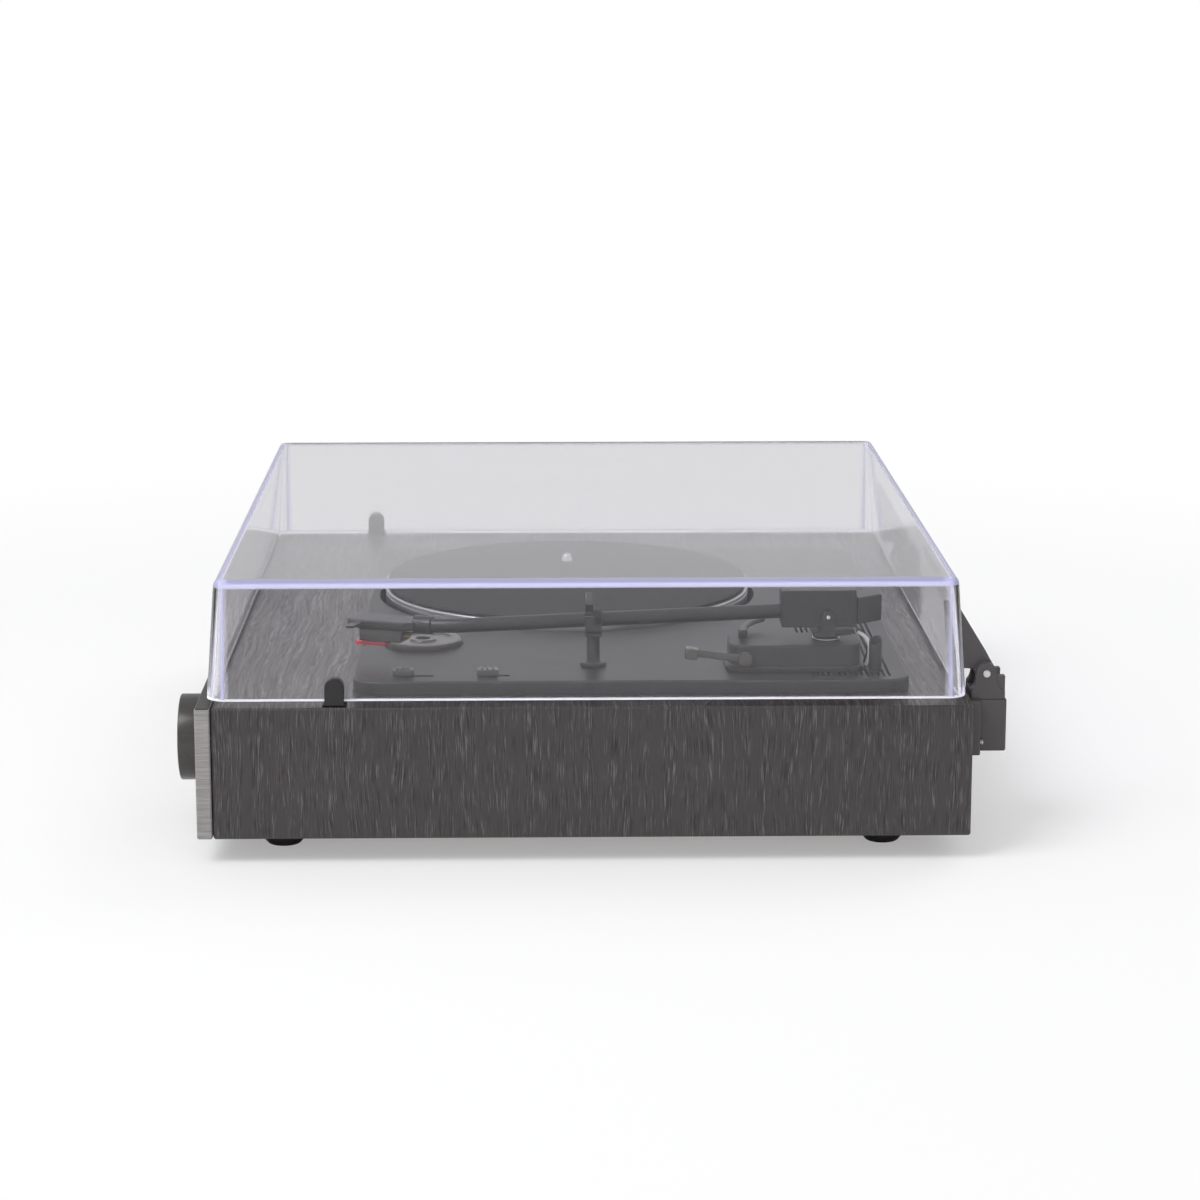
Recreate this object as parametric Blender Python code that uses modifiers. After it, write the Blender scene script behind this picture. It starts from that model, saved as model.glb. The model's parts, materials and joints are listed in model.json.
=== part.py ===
"""A belt-driven turntable with a hinged clear dust cover, piece by piece.

The wooden plinth stands on four rubber feet. A moulded deck drops into it and
carries the small platter, its motor and the tonearm. A brushed panel with the
volume knob closes the front, two friction hinges hold the cover at the rear.

+X is the side of the tonearm, -Y the front and +Z up. The origin lies on the
table below the middle of the outline. Lengths are in metres.
"""

import math

import bmesh
import bpy
import numpy as np
from mathutils import Vector

# Driving dimensions
PLINTH_WIDTH = 0.420
BODY_DEPTH = 0.363
PLINTH_HEIGHT = 0.063
FOOT_HEIGHT = 0.012
COVER_HEIGHT = 0.059
PLATTER_RADIUS = 0.0965
PIVOT_TO_HEADSHELL = 0.1890

# Fits
REST_GAP = 0.0003
RUNNING_GAP = 0.0006
OVERRUN = 0.002
WELD_DISTANCE = 0.000001
TURN_WELD_DISTANCE = 0.00001

# Plinth, front panel and base
WALL = 0.012
TOP_BOARD = 0.012
REVEAL = 0.0005
PANEL_THICKNESS = 0.0072
PANEL_EDGE_RADIUS = 0.0006
PLINTH_EDGE_RADIUS = 0.0008
BASE_THICKNESS = 0.003
OPENING_LEDGE = 0.009

# Feet
FOOT_TOP_RADIUS = 0.0098
FOOT_BASE_RADIUS = 0.0072
FOOT_BELLY_RISE = 0.0035
FOOT_INSET_X = 0.037
FOOT_INSET_Y = 0.038
FOOT_PEG_RADIUS = 0.003
FOOT_BARB_RADIUS = 0.0045
FOOT_BARB_HEIGHT = 0.0025

# Volume control
KNOB_RADIUS = 0.021
KNOB_STANDOFF = 0.014
KNOB_BACK_GAP = 0.0008
KNOB_EDGE_RADIUS = 0.0009
KNOB_INSET_X = 0.072
KNOB_RECESS_DEPTH = 0.0062
KNOB_FACE = 0.002
CONTROL_CAN_RADIUS = 0.012
CONTROL_CAN_DEPTH = 0.020
BUSHING_RADIUS = 0.004
BUSHING_REACH = 0.0042
NUT_RADIUS = 0.0065
NUT_THICKNESS = 0.0025
SHAFT_RADIUS = 0.003
LAMP_RADIUS = 0.0016
LAMP_STANDOFF = 0.0008
LAMP_FROM_KNOB = 0.036

# Rear terminals
TERMINAL_LENGTH = 0.118
TERMINAL_HEIGHT = 0.034
TERMINAL_THICKNESS = 0.002
TERMINAL_LAP = 0.006
TERMINAL_LEFT_SHARE = 0.12
JACK_END_MARGIN = 0.015
JACK_BARREL_RADIUS = 0.0042
JACK_BORE_RADIUS = 0.0017
JACK_BARREL_LENGTH = 0.0085
JACK_BORE_DEPTH = 0.0075
JACK_FLANGE_RADIUS = 0.0062
JACK_FLANGE_THICKNESS = 0.0014
JACK_TAIL_LENGTH = 0.010
INLET_RADIUS = 0.0056
INLET_BORE_RADIUS = 0.0030
INLET_BORE_DEPTH = 0.0085
INLET_PIN_RADIUS = 0.0010

# Amplifier inside the plinth
BOARD_LENGTH = 0.104
BOARD_WIDTH = 0.072
BOARD_THICKNESS = 0.0016
BOARD_STANDOFF = 0.006
BOARD_POST_RADIUS = 0.003
BOARD_POST_INSET = 0.006
BOARD_FROM_LEFT = 0.030
BOARD_FROM_REAR = 0.032
SINK_LENGTH = 0.060
SINK_DEPTH = 0.016
SINK_HEIGHT = 0.022
SINK_ROOT = 0.0035
SINK_FIN = 0.002
SINK_FIN_COUNT = 7

# Deck module
DECK_SIDE_MARGIN = 0.024
DECK_REAR_SHARE = 0.073
DECK_THICKNESS = 0.0067
DECK_CORNER_RADIUS = 0.013
DECK_EDGE_RADIUS = 0.0012
WELL_GAP = 0.003
WELL_LAND = 0.004
WELL_DEPTH = 0.011
WELL_WALL = 0.0025
RIB_PITCH = 0.0026
RIB_GROOVE_WIDTH = 0.0012
RIB_GROOVE_DEPTH = 0.0014
RIB_COUNT = 15
RIB_FROM_REAR = 0.009
RIB_FROM_SIDE = 0.008
RIB_LENGTH = 0.208

# Platter and its drive
PLATTER_DISC = 0.0033
PLATTER_RISE = 0.0045
PLATTER_RIM = 0.002
PLATTER_FLOOR_GAP = 0.0028
MAT_INSET = 0.0015
MAT_THICKNESS = 0.0015
DRIVE_RING_RADIUS = 0.058
DRIVE_RING_WALL = 0.002
HUB_RADIUS = 0.012
SPINDLE_RADIUS = 0.003
SPINDLE_TIP_RISE = 0.0118
SPINDLE_BOTTOM_DROP = 0.021
SPINDLE_NOSE = 0.003
BUSH_RADIUS = 0.007
BUSH_FLANGE_RADIUS = 0.012
BUSH_FLANGE_THICKNESS = 0.003
BUSH_FLOOR = 0.002
BELT_THICKNESS = 0.0008
BELT_HEIGHT = 0.004
BELT_FROM_FLOOR = 0.004
PULLEY_RADIUS = 0.0033
PULLEY_FLANGE = 0.0013
PULLEY_FLANGE_THICKNESS = 0.0008
MOTOR_DISTANCE = 0.080
MOTOR_BEARING_DEG = 215.0
MOTOR_RADIUS = 0.0165
MOTOR_HEIGHT = 0.024
MOTOR_SHAFT_RADIUS = 0.001
MOTOR_SHAFT_HOLE = 0.0045
MOTOR_NOSE_RADIUS = 0.004
MOTOR_SHAFT_DEPTH = 0.012

# Things on the deck
ADAPTER_RADIUS = 0.01905
ADAPTER_HOLE_RADIUS = 0.0037
ADAPTER_THICKNESS = 0.0045
ADAPTER_SINK = 0.002
ADAPTER_FROM_SIDE = 0.083
ADAPTER_FROM_FRONT = 0.031
SWITCH_CAP_LENGTH = 0.010
SWITCH_CAP_WIDTH = 0.0065
SWITCH_CAP_HEIGHT = 0.004
SWITCH_STEM_LENGTH = 0.004
SWITCH_STEM_WIDTH = 0.0024
SWITCH_FROM_SIDE = 0.012
SPEED_SWITCH_FROM_FRONT = 0.022
SPEED_SWITCH_TRAVEL = 0.012
STOP_SWITCH_FROM_FRONT = 0.062
STOP_SWITCH_TRAVEL = 0.008
HOLLOW_POST_RADIUS = 0.0031
HOLLOW_POST_WALL = 0.0007
HOLLOW_POST_HEIGHT = 0.0165
HOLLOW_POST_SLANT = 0.0040
HOLLOW_POST_FROM_PIVOT_X = 0.0135
HOLLOW_POST_FROM_PIVOT_Y = 0.0225

# Tonearm
PIVOT_FROM_SIDE = 0.032
PIVOT_REAR_SHARE = 0.177686
SPINDLE_LEFT_OF_PIVOT = 0.176
SPINDLE_AHEAD_OF_PIVOT = 0.123
PIVOT_RISE = 0.0256
BASE_WIDTH = 0.030
BASE_BEHIND_PIVOT = 0.016
BASE_AHEAD_OF_PIVOT = 0.047
BASE_HEIGHT = 0.0125
BASE_CORNER_RADIUS = 0.007
BASE_FOOT_FLARE = 0.0018
BASE_FOOT_HEIGHT = 0.0022
SWIVEL_POST_RADIUS = 0.00535
SWIVEL_POST_DEPTH = 0.009
SWIVEL_RING_RADIUS = 0.0068
SWIVEL_RING_THICKNESS = 0.0009
YOKE_PLATE_RISE = 0.0032
YOKE_PLATE_THICKNESS = 0.0022
YOKE_PLATE_BEHIND = 0.0123
YOKE_PLATE_AHEAD = 0.0070
YOKE_TAIL_WIDTH = 0.010
YOKE_EAR_THICKNESS = 0.0024
YOKE_EAR_RADIUS = 0.00315
PIN_RADIUS = 0.0010
PIN_PROUD = 0.0008
ARM_BODY_WIDTH = 0.0158
ARM_BODY_BEHIND = 0.0137
ARM_BODY_AHEAD = 0.022
ARM_BODY_BELOW = 0.0056
ARM_BODY_ABOVE = 0.0124
ARM_BODY_EDGE_RADIUS = 0.0008
TUBE_RADIUS = 0.0035
TUBE_START_RISE = 0.0014
TUBE_DROP = 0.0075
TUBE_BEND_LENGTH = 0.018
TUBE_SOCKET_DEPTH = 0.006
HEADSHELL_YAW_DEG = 20.0
HEADSHELL_LENGTH = 0.042
HEADSHELL_WIDTH = 0.017
HEADSHELL_THICKNESS = 0.004
HEADSHELL_EDGE_RADIUS = 0.0008
HEADSHELL_NECK_RADIUS = 0.0044
HEADSHELL_NECK_LENGTH = 0.008
LIFT_TAB_REACH = 0.011
LIFT_TAB_WIDTH = 0.0045
LIFT_TAB_THICKNESS = 0.0012
LIFT_TAB_FROM_TIP = 0.004
CARTRIDGE_LENGTH = 0.022
CARTRIDGE_WIDTH = 0.0135
CARTRIDGE_HEIGHT = 0.0062
CARTRIDGE_FROM_TIP = 0.006
STYLUS_BODY_LENGTH = 0.016
STYLUS_BODY_WIDTH = 0.009
STYLUS_BODY_HEIGHT = 0.0022
STYLUS_NOSE_AHEAD = 0.003
NEEDLE_RADIUS = 0.0006
NEEDLE_HEIGHT = 0.0018
WEIGHT_LENGTH = 0.0128
WEIGHT_HEIGHT = 0.0130
WEIGHT_SWEEP = 0.0098
WEIGHT_RISE = 0.0022
STUB_RADIUS = 0.0022
STUB_LENGTH = 0.006

# Arm rest, its clip and the cueing lift
REST_AHEAD_OF_PIVOT = 0.112
REST_THICKNESS_Y = 0.008
REST_FLOOR = 0.003
REST_WALL = 0.003
REST_SIDE_GAP = 0.0012
REST_WALL_ABOVE_TUBE = 0.0005
REST_STEM_RADIUS = 0.0032
REST_FOOT_RADIUS = 0.0062
REST_FOOT_HEIGHT = 0.0018
CLIP_HUB_RADIUS = 0.0024
CLIP_PIN_RADIUS = 0.0010
CLIP_THICKNESS = 0.002
CLIP_LIP_THICKNESS = 0.0012
CLIP_SIDE_GAP = 0.0016
CLIP_LIP_DROP = 0.0048
CLIP_OPEN_DEG = 150.0
LIFT_ARC_RADIUS = 0.040
LIFT_ARC_DEG = 48.0
LIFT_ARC_START_DEG = -4.0
LIFT_BAR_WIDTH = 0.003
LIFT_BAR_HEIGHT = 0.0022
LIFT_TRAVEL = 0.004
LIFT_STEM_RADIUS = 0.0022
LIFT_STEM_DEG = 8.0
LIFT_STEM_DEPTH = 0.0085
LEVER_HUB_RADIUS = 0.0036
LEVER_HUB_THICKNESS = 0.0030
LEVER_LENGTH = 0.026
LEVER_WIDTH = 0.0036
LEVER_TIP_LENGTH = 0.006
LEVER_TIP_WIDTH = 0.007
LEVER_REST_DEG = 8.0
LEVER_AXLE_RADIUS = 0.0012
LEVER_AXLE_DEPTH = 0.006
LEVER_RISE = 0.0068
LEVER_FROM_BASE_FRONT = 0.007

# Leads from the arm into the deck
LEAD_RADIUS = 0.0009
LEAD_SPACING = 0.0031
LEAD_TOP_RISE = 0.0040
LEAD_BACK = 0.0050
LEAD_FRONT = 0.0012

# Dust cover
COVER_WALL = 0.003
COVER_RIM_RISE = 0.0023
COVER_SIDE_INSET = 0.004
COVER_FRONT_INSET = 0.005
COVER_REAR_INSET = 0.0024
COVER_DRAFT = 0.0043
COVER_CORNER_RADIUS = 0.009
COVER_EDGE_RADIUS = 0.0035
BUMPER_WIDTH = 0.009
BUMPER_HEIGHT = 0.013
BUMPER_SKIN = 0.0016
BUMPER_FROM_FRONT = 0.065
BUMPER_FLARE = 0.0012
BUMPER_FOOT_HEIGHT = 0.0018

# Cover hinges
HINGE_STANDOFF = 0.022
HINGE_INSET_X = 0.040
HINGE_WIDTH = 0.030
HINGE_FLANGE = 0.009
HINGE_BLOCK_INSET = 0.004
HINGE_TOP_DROP = 0.009
HINGE_HEIGHT = 0.026
HINGE_STEP = 0.0006
HINGE_AXIS_BEHIND = 0.012
HINGE_AXIS_RISE = 0.0047
HINGE_KNUCKLE_RADIUS = 0.005
HINGE_PIN_RADIUS = 0.0018
HINGE_EAR = 0.005
HINGE_SADDLE_HEIGHT = 0.006
HINGE_LEAF_TOP_RISE = 0.038
HINGE_LEAF_BOTTOM_RISE = 0.0065
HINGE_LEAF_PLATE = 0.0025
KNUCKLE_CHEEK_SHARES = ((-0.6, 0.2), (0.9, 0.3), (0.0, 2.0))
HINGE_SCREW_RADIUS = 0.0016
HINGE_SCREW_SHANK = 0.0009
HINGE_SCREW_HEAD = 0.0012
HINGE_SCREW_DEPTH = 0.016
HINGE_SCREW_RISE = 0.0066

# Smoothness of round pieces
FINE = 48
ROUND = 24
COARSE = 16

# Places that follow from the sizes
FRONT_Y = KNOB_STANDOFF - (KNOB_STANDOFF + BODY_DEPTH + HINGE_STANDOFF) / 2
REAR_Y = FRONT_Y + BODY_DEPTH
SIDE_X = PLINTH_WIDTH / 2
PLINTH_FRONT_Y = FRONT_Y + PANEL_THICKNESS + REVEAL
PLINTH_TOP_Z = FOOT_HEIGHT + PLINTH_HEIGHT
PLINTH_MIDDLE_Z = FOOT_HEIGHT + PLINTH_HEIGHT / 2
COVER_TOP_Z = PLINTH_TOP_Z + COVER_HEIGHT
DECK_UNDER_Z = PLINTH_TOP_Z + REST_GAP
DECK_Z = DECK_UNDER_Z + DECK_THICKNESS
BASE_TOP_Z = FOOT_HEIGHT + BASE_THICKNESS
DECK_RIGHT_X = SIDE_X - DECK_SIDE_MARGIN
DECK_REAR_Y = REAR_Y - BODY_DEPTH * DECK_REAR_SHARE
PIVOT_X = DECK_RIGHT_X - PIVOT_FROM_SIDE
PIVOT_Y = REAR_Y - BODY_DEPTH * PIVOT_REAR_SHARE
PIVOT_Z = DECK_Z + PIVOT_RISE
SPINDLE_X = PIVOT_X - SPINDLE_LEFT_OF_PIVOT
SPINDLE_Y = PIVOT_Y - SPINDLE_AHEAD_OF_PIVOT
WELL_RADIUS = PLATTER_RADIUS + WELL_GAP
DECK_LEFT_X = SPINDLE_X - WELL_RADIUS - WELL_LAND
DECK_FRONT_Y = SPINDLE_Y - WELL_RADIUS - WELL_LAND
WELL_FLOOR_Z = DECK_Z - WELL_DEPTH
PAN_UNDER_Z = WELL_FLOOR_Z - WELL_WALL
PLATTER_TOP_Z = DECK_Z + PLATTER_RISE
PLATTER_UNDER_Z = PLATTER_TOP_Z - PLATTER_DISC
PLATTER_LOW_Z = WELL_FLOOR_Z + PLATTER_FLOOR_GAP
MAT_TOP_Z = PLATTER_TOP_Z + REST_GAP + MAT_THICKNESS
BUSH_TOP_Z = PLATTER_LOW_Z - REST_GAP
BASE_DECK_Z = DECK_Z + REST_GAP
BASE_PLATFORM_Z = BASE_DECK_Z + BASE_HEIGHT
KNOB_X = SIDE_X - KNOB_INSET_X
KNOB_Z = PLINTH_MIDDLE_Z
COVER_RIM_Z = PLINTH_TOP_Z + COVER_RIM_RISE
HINGE_Y = REAR_Y + HINGE_AXIS_BEHIND
HINGE_Z = PLINTH_TOP_Z + HINGE_AXIS_RISE
HINGE_TOP_Z = PLINTH_TOP_Z - HINGE_TOP_DROP
TERMINAL_X = -PLINTH_WIDTH * TERMINAL_LEFT_SHARE
TERMINAL_Z = PLINTH_MIDDLE_Z

# Colour as shown (hex), roughness and metallic value of each finish
FINISHES = {
    "black_ash_vinyl": ("4b4747", 0.45, 0.0),
    "hardboard": ("6e5138", 0.85, 0.0),
    "brushed_panel": ("9c9896", 0.38, 0.9),
    "satin_black": ("3a3837", 0.45, 0.0),
    "rubber": ("2c2a2b", 0.8, 0.0),
    "deck_plastic": ("4a4a4c", 0.5, 0.0),
    "arm_plastic": ("3f3e41", 0.5, 0.0),
    "hinge_plastic": ("4f4b4c", 0.45, 0.0),
    "clear_acrylic": ("e6e6f2", 0.05, 0.0),
    "cast_aluminium": ("b4b4b6", 0.35, 1.0),
    "felt": ("2b2b2d", 0.95, 0.0),
    "polished_steel": ("c9c9cc", 0.2, 1.0),
    "zinc_steel": ("9a9a98", 0.4, 1.0),
    "brass": ("b89a55", 0.3, 1.0),
    "white_lead": ("d5d3cf", 0.5, 0.0),
    "stylus_red": ("c23344", 0.35, 0.0),
    "lamp_red": ("b02026", 0.25, 0.0),
    "circuit_board": ("2f5a3c", 0.6, 0.0),
}


def linear(channel):
    """One display colour channel, 0 to 1, as linear light."""
    low = channel <= 0.04045
    return channel / 12.92 if low else ((channel + 0.055) / 1.055) ** 2.4


def finish(slot):
    """The material of a finish, made on first use."""
    found = bpy.data.materials.get(slot)
    if found:
        return found
    code, roughness, metallic = FINISHES[slot]
    colour = [linear(int(code[n:n + 2], 16) / 255) for n in (0, 2, 4)]
    made = bpy.data.materials.new(slot)
    made.use_nodes = True
    shader = made.node_tree.nodes["Principled BSDF"]
    shader.inputs["Base Color"].default_value = (*colour, 1.0)
    shader.inputs["Roughness"].default_value = roughness
    shader.inputs["Metallic"].default_value = metallic
    return made


def clear_scene():
    """Empty the scene and give it one collection for parts and one for cutters."""
    for old in list(bpy.data.objects):
        bpy.data.objects.remove(old, do_unlink=True)
    for name in ("turntable", "cutters"):
        group = bpy.data.collections.new(name)
        bpy.context.scene.collection.children.link(group)


def place(name, data, slot=None):
    """A new object: a part where it has a finish, and otherwise a cutter."""
    thing = bpy.data.objects.new(name, data)
    if slot:
        bpy.data.collections["turntable"].objects.link(thing)
        data.materials.append(finish(slot))
    else:
        bpy.data.collections["cutters"].objects.link(thing)
        thing.hide_render = True
        thing.display_type = "WIRE"
    return thing


def mesh_object(name, shape, slot=None):
    """A new object that takes its mesh from a bmesh."""
    mesh = bpy.data.meshes.new(name)
    shape.to_mesh(mesh)
    shape.free()
    return place(name, mesh, slot)


def block(name, low, high, slot=None):
    """A block between two opposite corners."""
    low, high = Vector(low), Vector(high)
    shape = bmesh.new()
    bmesh.ops.create_cube(shape, size=1)
    bmesh.ops.scale(shape, vec=high - low, verts=shape.verts)
    thing = mesh_object(name, shape, slot)
    thing.location = (low + high) / 2
    return thing


def aim(thing, axis):
    """Turn an object's own Z along a world axis such as X, Y or -Y."""
    quarter = math.pi / 2
    turns = {
        "Z": (0, 0, 0),
        "X": (0, quarter, 0),
        "Y": (-quarter, 0, 0),
        "-Y": (quarter, 0, 0),
    }
    thing.rotation_euler = turns[axis]


def smooth(mesh):
    """Shade a mesh smooth but for its sharp edges."""
    mesh.shade_smooth()
    mesh.set_sharp_from_angle(angle=math.radians(35))


def rod(name, start, radius, length, slot=None, axis="Z", sides=ROUND):
    """A cylinder that starts at a point and runs along a world axis."""
    shape = bmesh.new()
    bmesh.ops.create_cone(
        shape, cap_ends=True, segments=sides, radius1=radius, radius2=radius, depth=length
    )
    bmesh.ops.translate(shape, vec=(0, 0, length / 2), verts=shape.verts)
    thing = mesh_object(name, shape, slot)
    smooth(thing.data)
    thing.location = start
    aim(thing, axis)
    return thing


def turned(name, profile, at, slot=None, axis="Z", sides=ROUND, ring=False):
    """A profile of radius and height, top to bottom, turned about an axis through a point."""
    points = [(radius, 0, height) for radius, height in profile]
    edges = [(n, n + 1) for n in range(len(points) - 1)]
    if ring:
        edges.append((len(points) - 1, 0))
    mesh = bpy.data.meshes.new(name + "_profile")
    mesh.from_pydata(points, edges, [])
    line = bpy.data.objects.new(name + "_profile", mesh)
    bpy.context.scene.collection.objects.link(line)
    line.location = at
    aim(line, axis)
    screw = line.modifiers.new("Turn", "SCREW")
    screw.steps = screw.render_steps = sides
    screw.use_merge_vertices = True
    screw.merge_threshold = TURN_WELD_DISTANCE
    thing = solid_of(line, name, slot)
    smooth(thing.data)
    return thing


def arc(centre, radius, start, end, steps):
    """Points on a circle between two angles in radians."""
    angles = np.linspace(start, end, steps)
    return [(centre[0] + radius * math.cos(a), centre[1] + radius * math.sin(a)) for a in angles]


def rounded(low, high, radius, steps=6):
    """The outline of a rectangle with round corners."""
    quarter = math.pi / 2
    corners = (
        (high[0] - radius, high[1] - radius),
        (low[0] + radius, high[1] - radius),
        (low[0] + radius, low[1] + radius),
        (high[0] - radius, low[1] + radius),
    )
    points = []
    for n, corner in enumerate(corners):
        points += arc(corner, radius, n * quarter, (n + 1) * quarter, steps)
    return points


def solid_of(guide, name, slot):
    """The welded mesh object that takes the place of a curve or a profile."""
    bpy.context.view_layer.update()
    seen = guide.evaluated_get(bpy.context.evaluated_depsgraph_get())
    mesh = bpy.data.meshes.new_from_object(seen)
    shape = bmesh.new()
    shape.from_mesh(mesh)
    bmesh.ops.remove_doubles(shape, verts=shape.verts, dist=WELD_DISTANCE)
    shape.to_mesh(mesh)
    shape.free()
    mesh.name = name
    mesh.materials.clear()
    thing = place(name, mesh, slot)
    thing.matrix_world = guide.matrix_world.copy()
    bpy.data.objects.remove(guide)
    return thing


def plate(name, outlines, low, high, slot=None, plane="Z"):
    """Flat outlines, the later ones holes in the first, as a solid between two levels.

    In plane Z an outline gives x and y, in plane X y and z, and in plane Y x and z.
    """
    data = bpy.data.curves.new(name, "CURVE")
    data.dimensions = "2D"
    data.fill_mode = "BOTH"
    data.extrude = (high - low) / 2
    for outline in outlines:
        line = data.splines.new("POLY")
        line.points.add(len(outline) - 1)
        for point, (u, v) in zip(line.points, outline):
            point.co = (u, v, 0, 1)
        line.use_cyclic_u = True
    curve = bpy.data.objects.new(name + "_outline", data)
    bpy.context.scene.collection.objects.link(curve)
    middle = (low + high) / 2
    if plane == "X":
        curve.rotation_euler = (math.pi / 2, 0, math.pi / 2)
        curve.location = (middle, 0, 0)
    elif plane == "Y":
        curve.rotation_euler = (math.pi / 2, 0, 0)
        curve.location = (0, middle, 0)
    else:
        curve.location = (0, 0, middle)
    return solid_of(curve, name, slot)


def tube(name, points, radius, slot=None, resolution=2):
    """A round rod with flat ends along a list of points."""
    data = bpy.data.curves.new(name, "CURVE")
    data.dimensions = "3D"
    data.bevel_depth = radius
    data.bevel_resolution = resolution
    data.use_fill_caps = True
    line = data.splines.new("POLY")
    line.points.add(len(points) - 1)
    for point, spot in zip(line.points, points):
        point.co = (*spot, 1)
    curve = bpy.data.objects.new(name + "_path", data)
    bpy.context.scene.collection.objects.link(curve)
    return solid_of(curve, name, slot)


def combine(thing, others, operation):
    """Boolean steps of one object with each of the others, which become guides."""
    for other in others:
        step = thing.modifiers.new(operation.title(), "BOOLEAN")
        step.operation = operation
        step.object = other
    return thing


def cut(thing, *cutters):
    """Take the cutters out of an object."""
    return combine(thing, cutters, "DIFFERENCE")


def join(thing, *additions):
    """Fuse further solids to an object."""
    return combine(thing, additions, "UNION")


def ease(thing, width, segments=2):
    """Round the sharp edges of an object."""
    step = thing.modifiers.new("Ease", "BEVEL")
    step.width = width
    step.segments = segments
    step.limit_method = "ANGLE"
    step.angle_limit = math.radians(40)
    return thing


def make_plinth():
    """The case of veneered board, open below, with the opening that the deck hangs in."""
    low = (-SIDE_X, PLINTH_FRONT_Y, FOOT_HEIGHT)
    case = block("plinth", low, (SIDE_X, REAR_Y, PLINTH_TOP_Z), "black_ash_vinyl")
    ease(case, PLINTH_EDGE_RADIUS, 1)
    inside = block(
        "plinth_inside",
        (-SIDE_X + WALL, PLINTH_FRONT_Y + WALL, FOOT_HEIGHT - OVERRUN),
        (SIDE_X - WALL, REAR_Y - WALL, PLINTH_TOP_Z - TOP_BOARD),
    )
    opening = block(
        "deck_opening",
        (DECK_LEFT_X + OPENING_LEDGE, DECK_FRONT_Y + OPENING_LEDGE, PLINTH_TOP_Z - TOP_BOARD - OVERRUN),
        (DECK_RIGHT_X - OPENING_LEDGE, DECK_REAR_Y - OPENING_LEDGE, PLINTH_TOP_Z + OVERRUN),
    )
    pan_opening = rod(
        "pan_opening",
        (SPINDLE_X, SPINDLE_Y, PLINTH_TOP_Z - TOP_BOARD - OVERRUN),
        WELL_RADIUS + WELL_WALL + RUNNING_GAP,
        TOP_BOARD + OVERRUN * 2,
        sides=FINE,
    )
    control = rod(
        "control_hole",
        (KNOB_X, PLINTH_FRONT_Y - OVERRUN, KNOB_Z),
        CONTROL_CAN_RADIUS + RUNNING_GAP,
        WALL + OVERRUN * 2,
        axis="Y",
    )
    half = TERMINAL_LENGTH / 2 - TERMINAL_LAP
    rise = TERMINAL_HEIGHT / 2 - TERMINAL_LAP
    terminals = block(
        "terminal_opening",
        (TERMINAL_X - half, REAR_Y - WALL - OVERRUN, TERMINAL_Z - rise),
        (TERMINAL_X + half, REAR_Y + OVERRUN, TERMINAL_Z + rise),
    )
    cut(case, inside, opening, pan_opening, control, terminals)
    for side in (-1, 1):
        pilot = rod(
            "hinge_pilot",
            (hinge_screw_x(side), REAR_Y + OVERRUN, hinge_screw_z()),
            HINGE_SCREW_SHANK + REST_GAP,
            OVERRUN + HINGE_SCREW_DEPTH - HINGE_FLANGE,
            axis="-Y",
            sides=COARSE,
        )
        cut(case, pilot)


def foot_places():
    """Name and place of each foot."""
    x, front, rear = SIDE_X - FOOT_INSET_X, FRONT_Y + FOOT_INSET_Y, REAR_Y - FOOT_INSET_Y
    return {
        "foot_front_left": (-x, front),
        "foot_front_right": (x, front),
        "foot_rear_left": (-x, rear),
        "foot_rear_right": (x, rear),
    }


def make_base():
    """The base panel and the four feet that are pushed into it."""
    margin = WALL + REST_GAP
    base = block(
        "base_panel",
        (-SIDE_X + margin, PLINTH_FRONT_Y + margin, FOOT_HEIGHT),
        (SIDE_X - margin, REAR_Y - margin, BASE_TOP_Z),
        "hardboard",
    )
    flat_top = FOOT_HEIGHT - REST_GAP
    barb_low = BASE_TOP_Z + REST_GAP
    profile = (
        (0, barb_low + FOOT_BARB_HEIGHT),
        (FOOT_PEG_RADIUS, barb_low + FOOT_BARB_HEIGHT),
        (FOOT_BARB_RADIUS, barb_low),
        (FOOT_PEG_RADIUS, barb_low),
        (FOOT_PEG_RADIUS, flat_top),
        (FOOT_TOP_RADIUS, flat_top),
        (FOOT_TOP_RADIUS, flat_top - FOOT_BELLY_RISE / 2),
        ((FOOT_TOP_RADIUS * 2 + FOOT_BASE_RADIUS) / 3, FOOT_BELLY_RISE),
        (FOOT_BASE_RADIUS + FOOT_BELLY_RISE / 4, FOOT_BELLY_RISE / 4),
        (FOOT_BASE_RADIUS, 0),
        (0, 0),
    )
    for name, (x, y) in foot_places().items():
        turned(name, profile, (x, y, 0), "rubber", sides=COARSE)
        hole = rod(
            name + "_hole",
            (x, y, FOOT_HEIGHT - OVERRUN),
            FOOT_PEG_RADIUS + REST_GAP,
            BASE_THICKNESS + OVERRUN * 2,
            sides=COARSE,
        )
        cut(base, hole)


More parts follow.
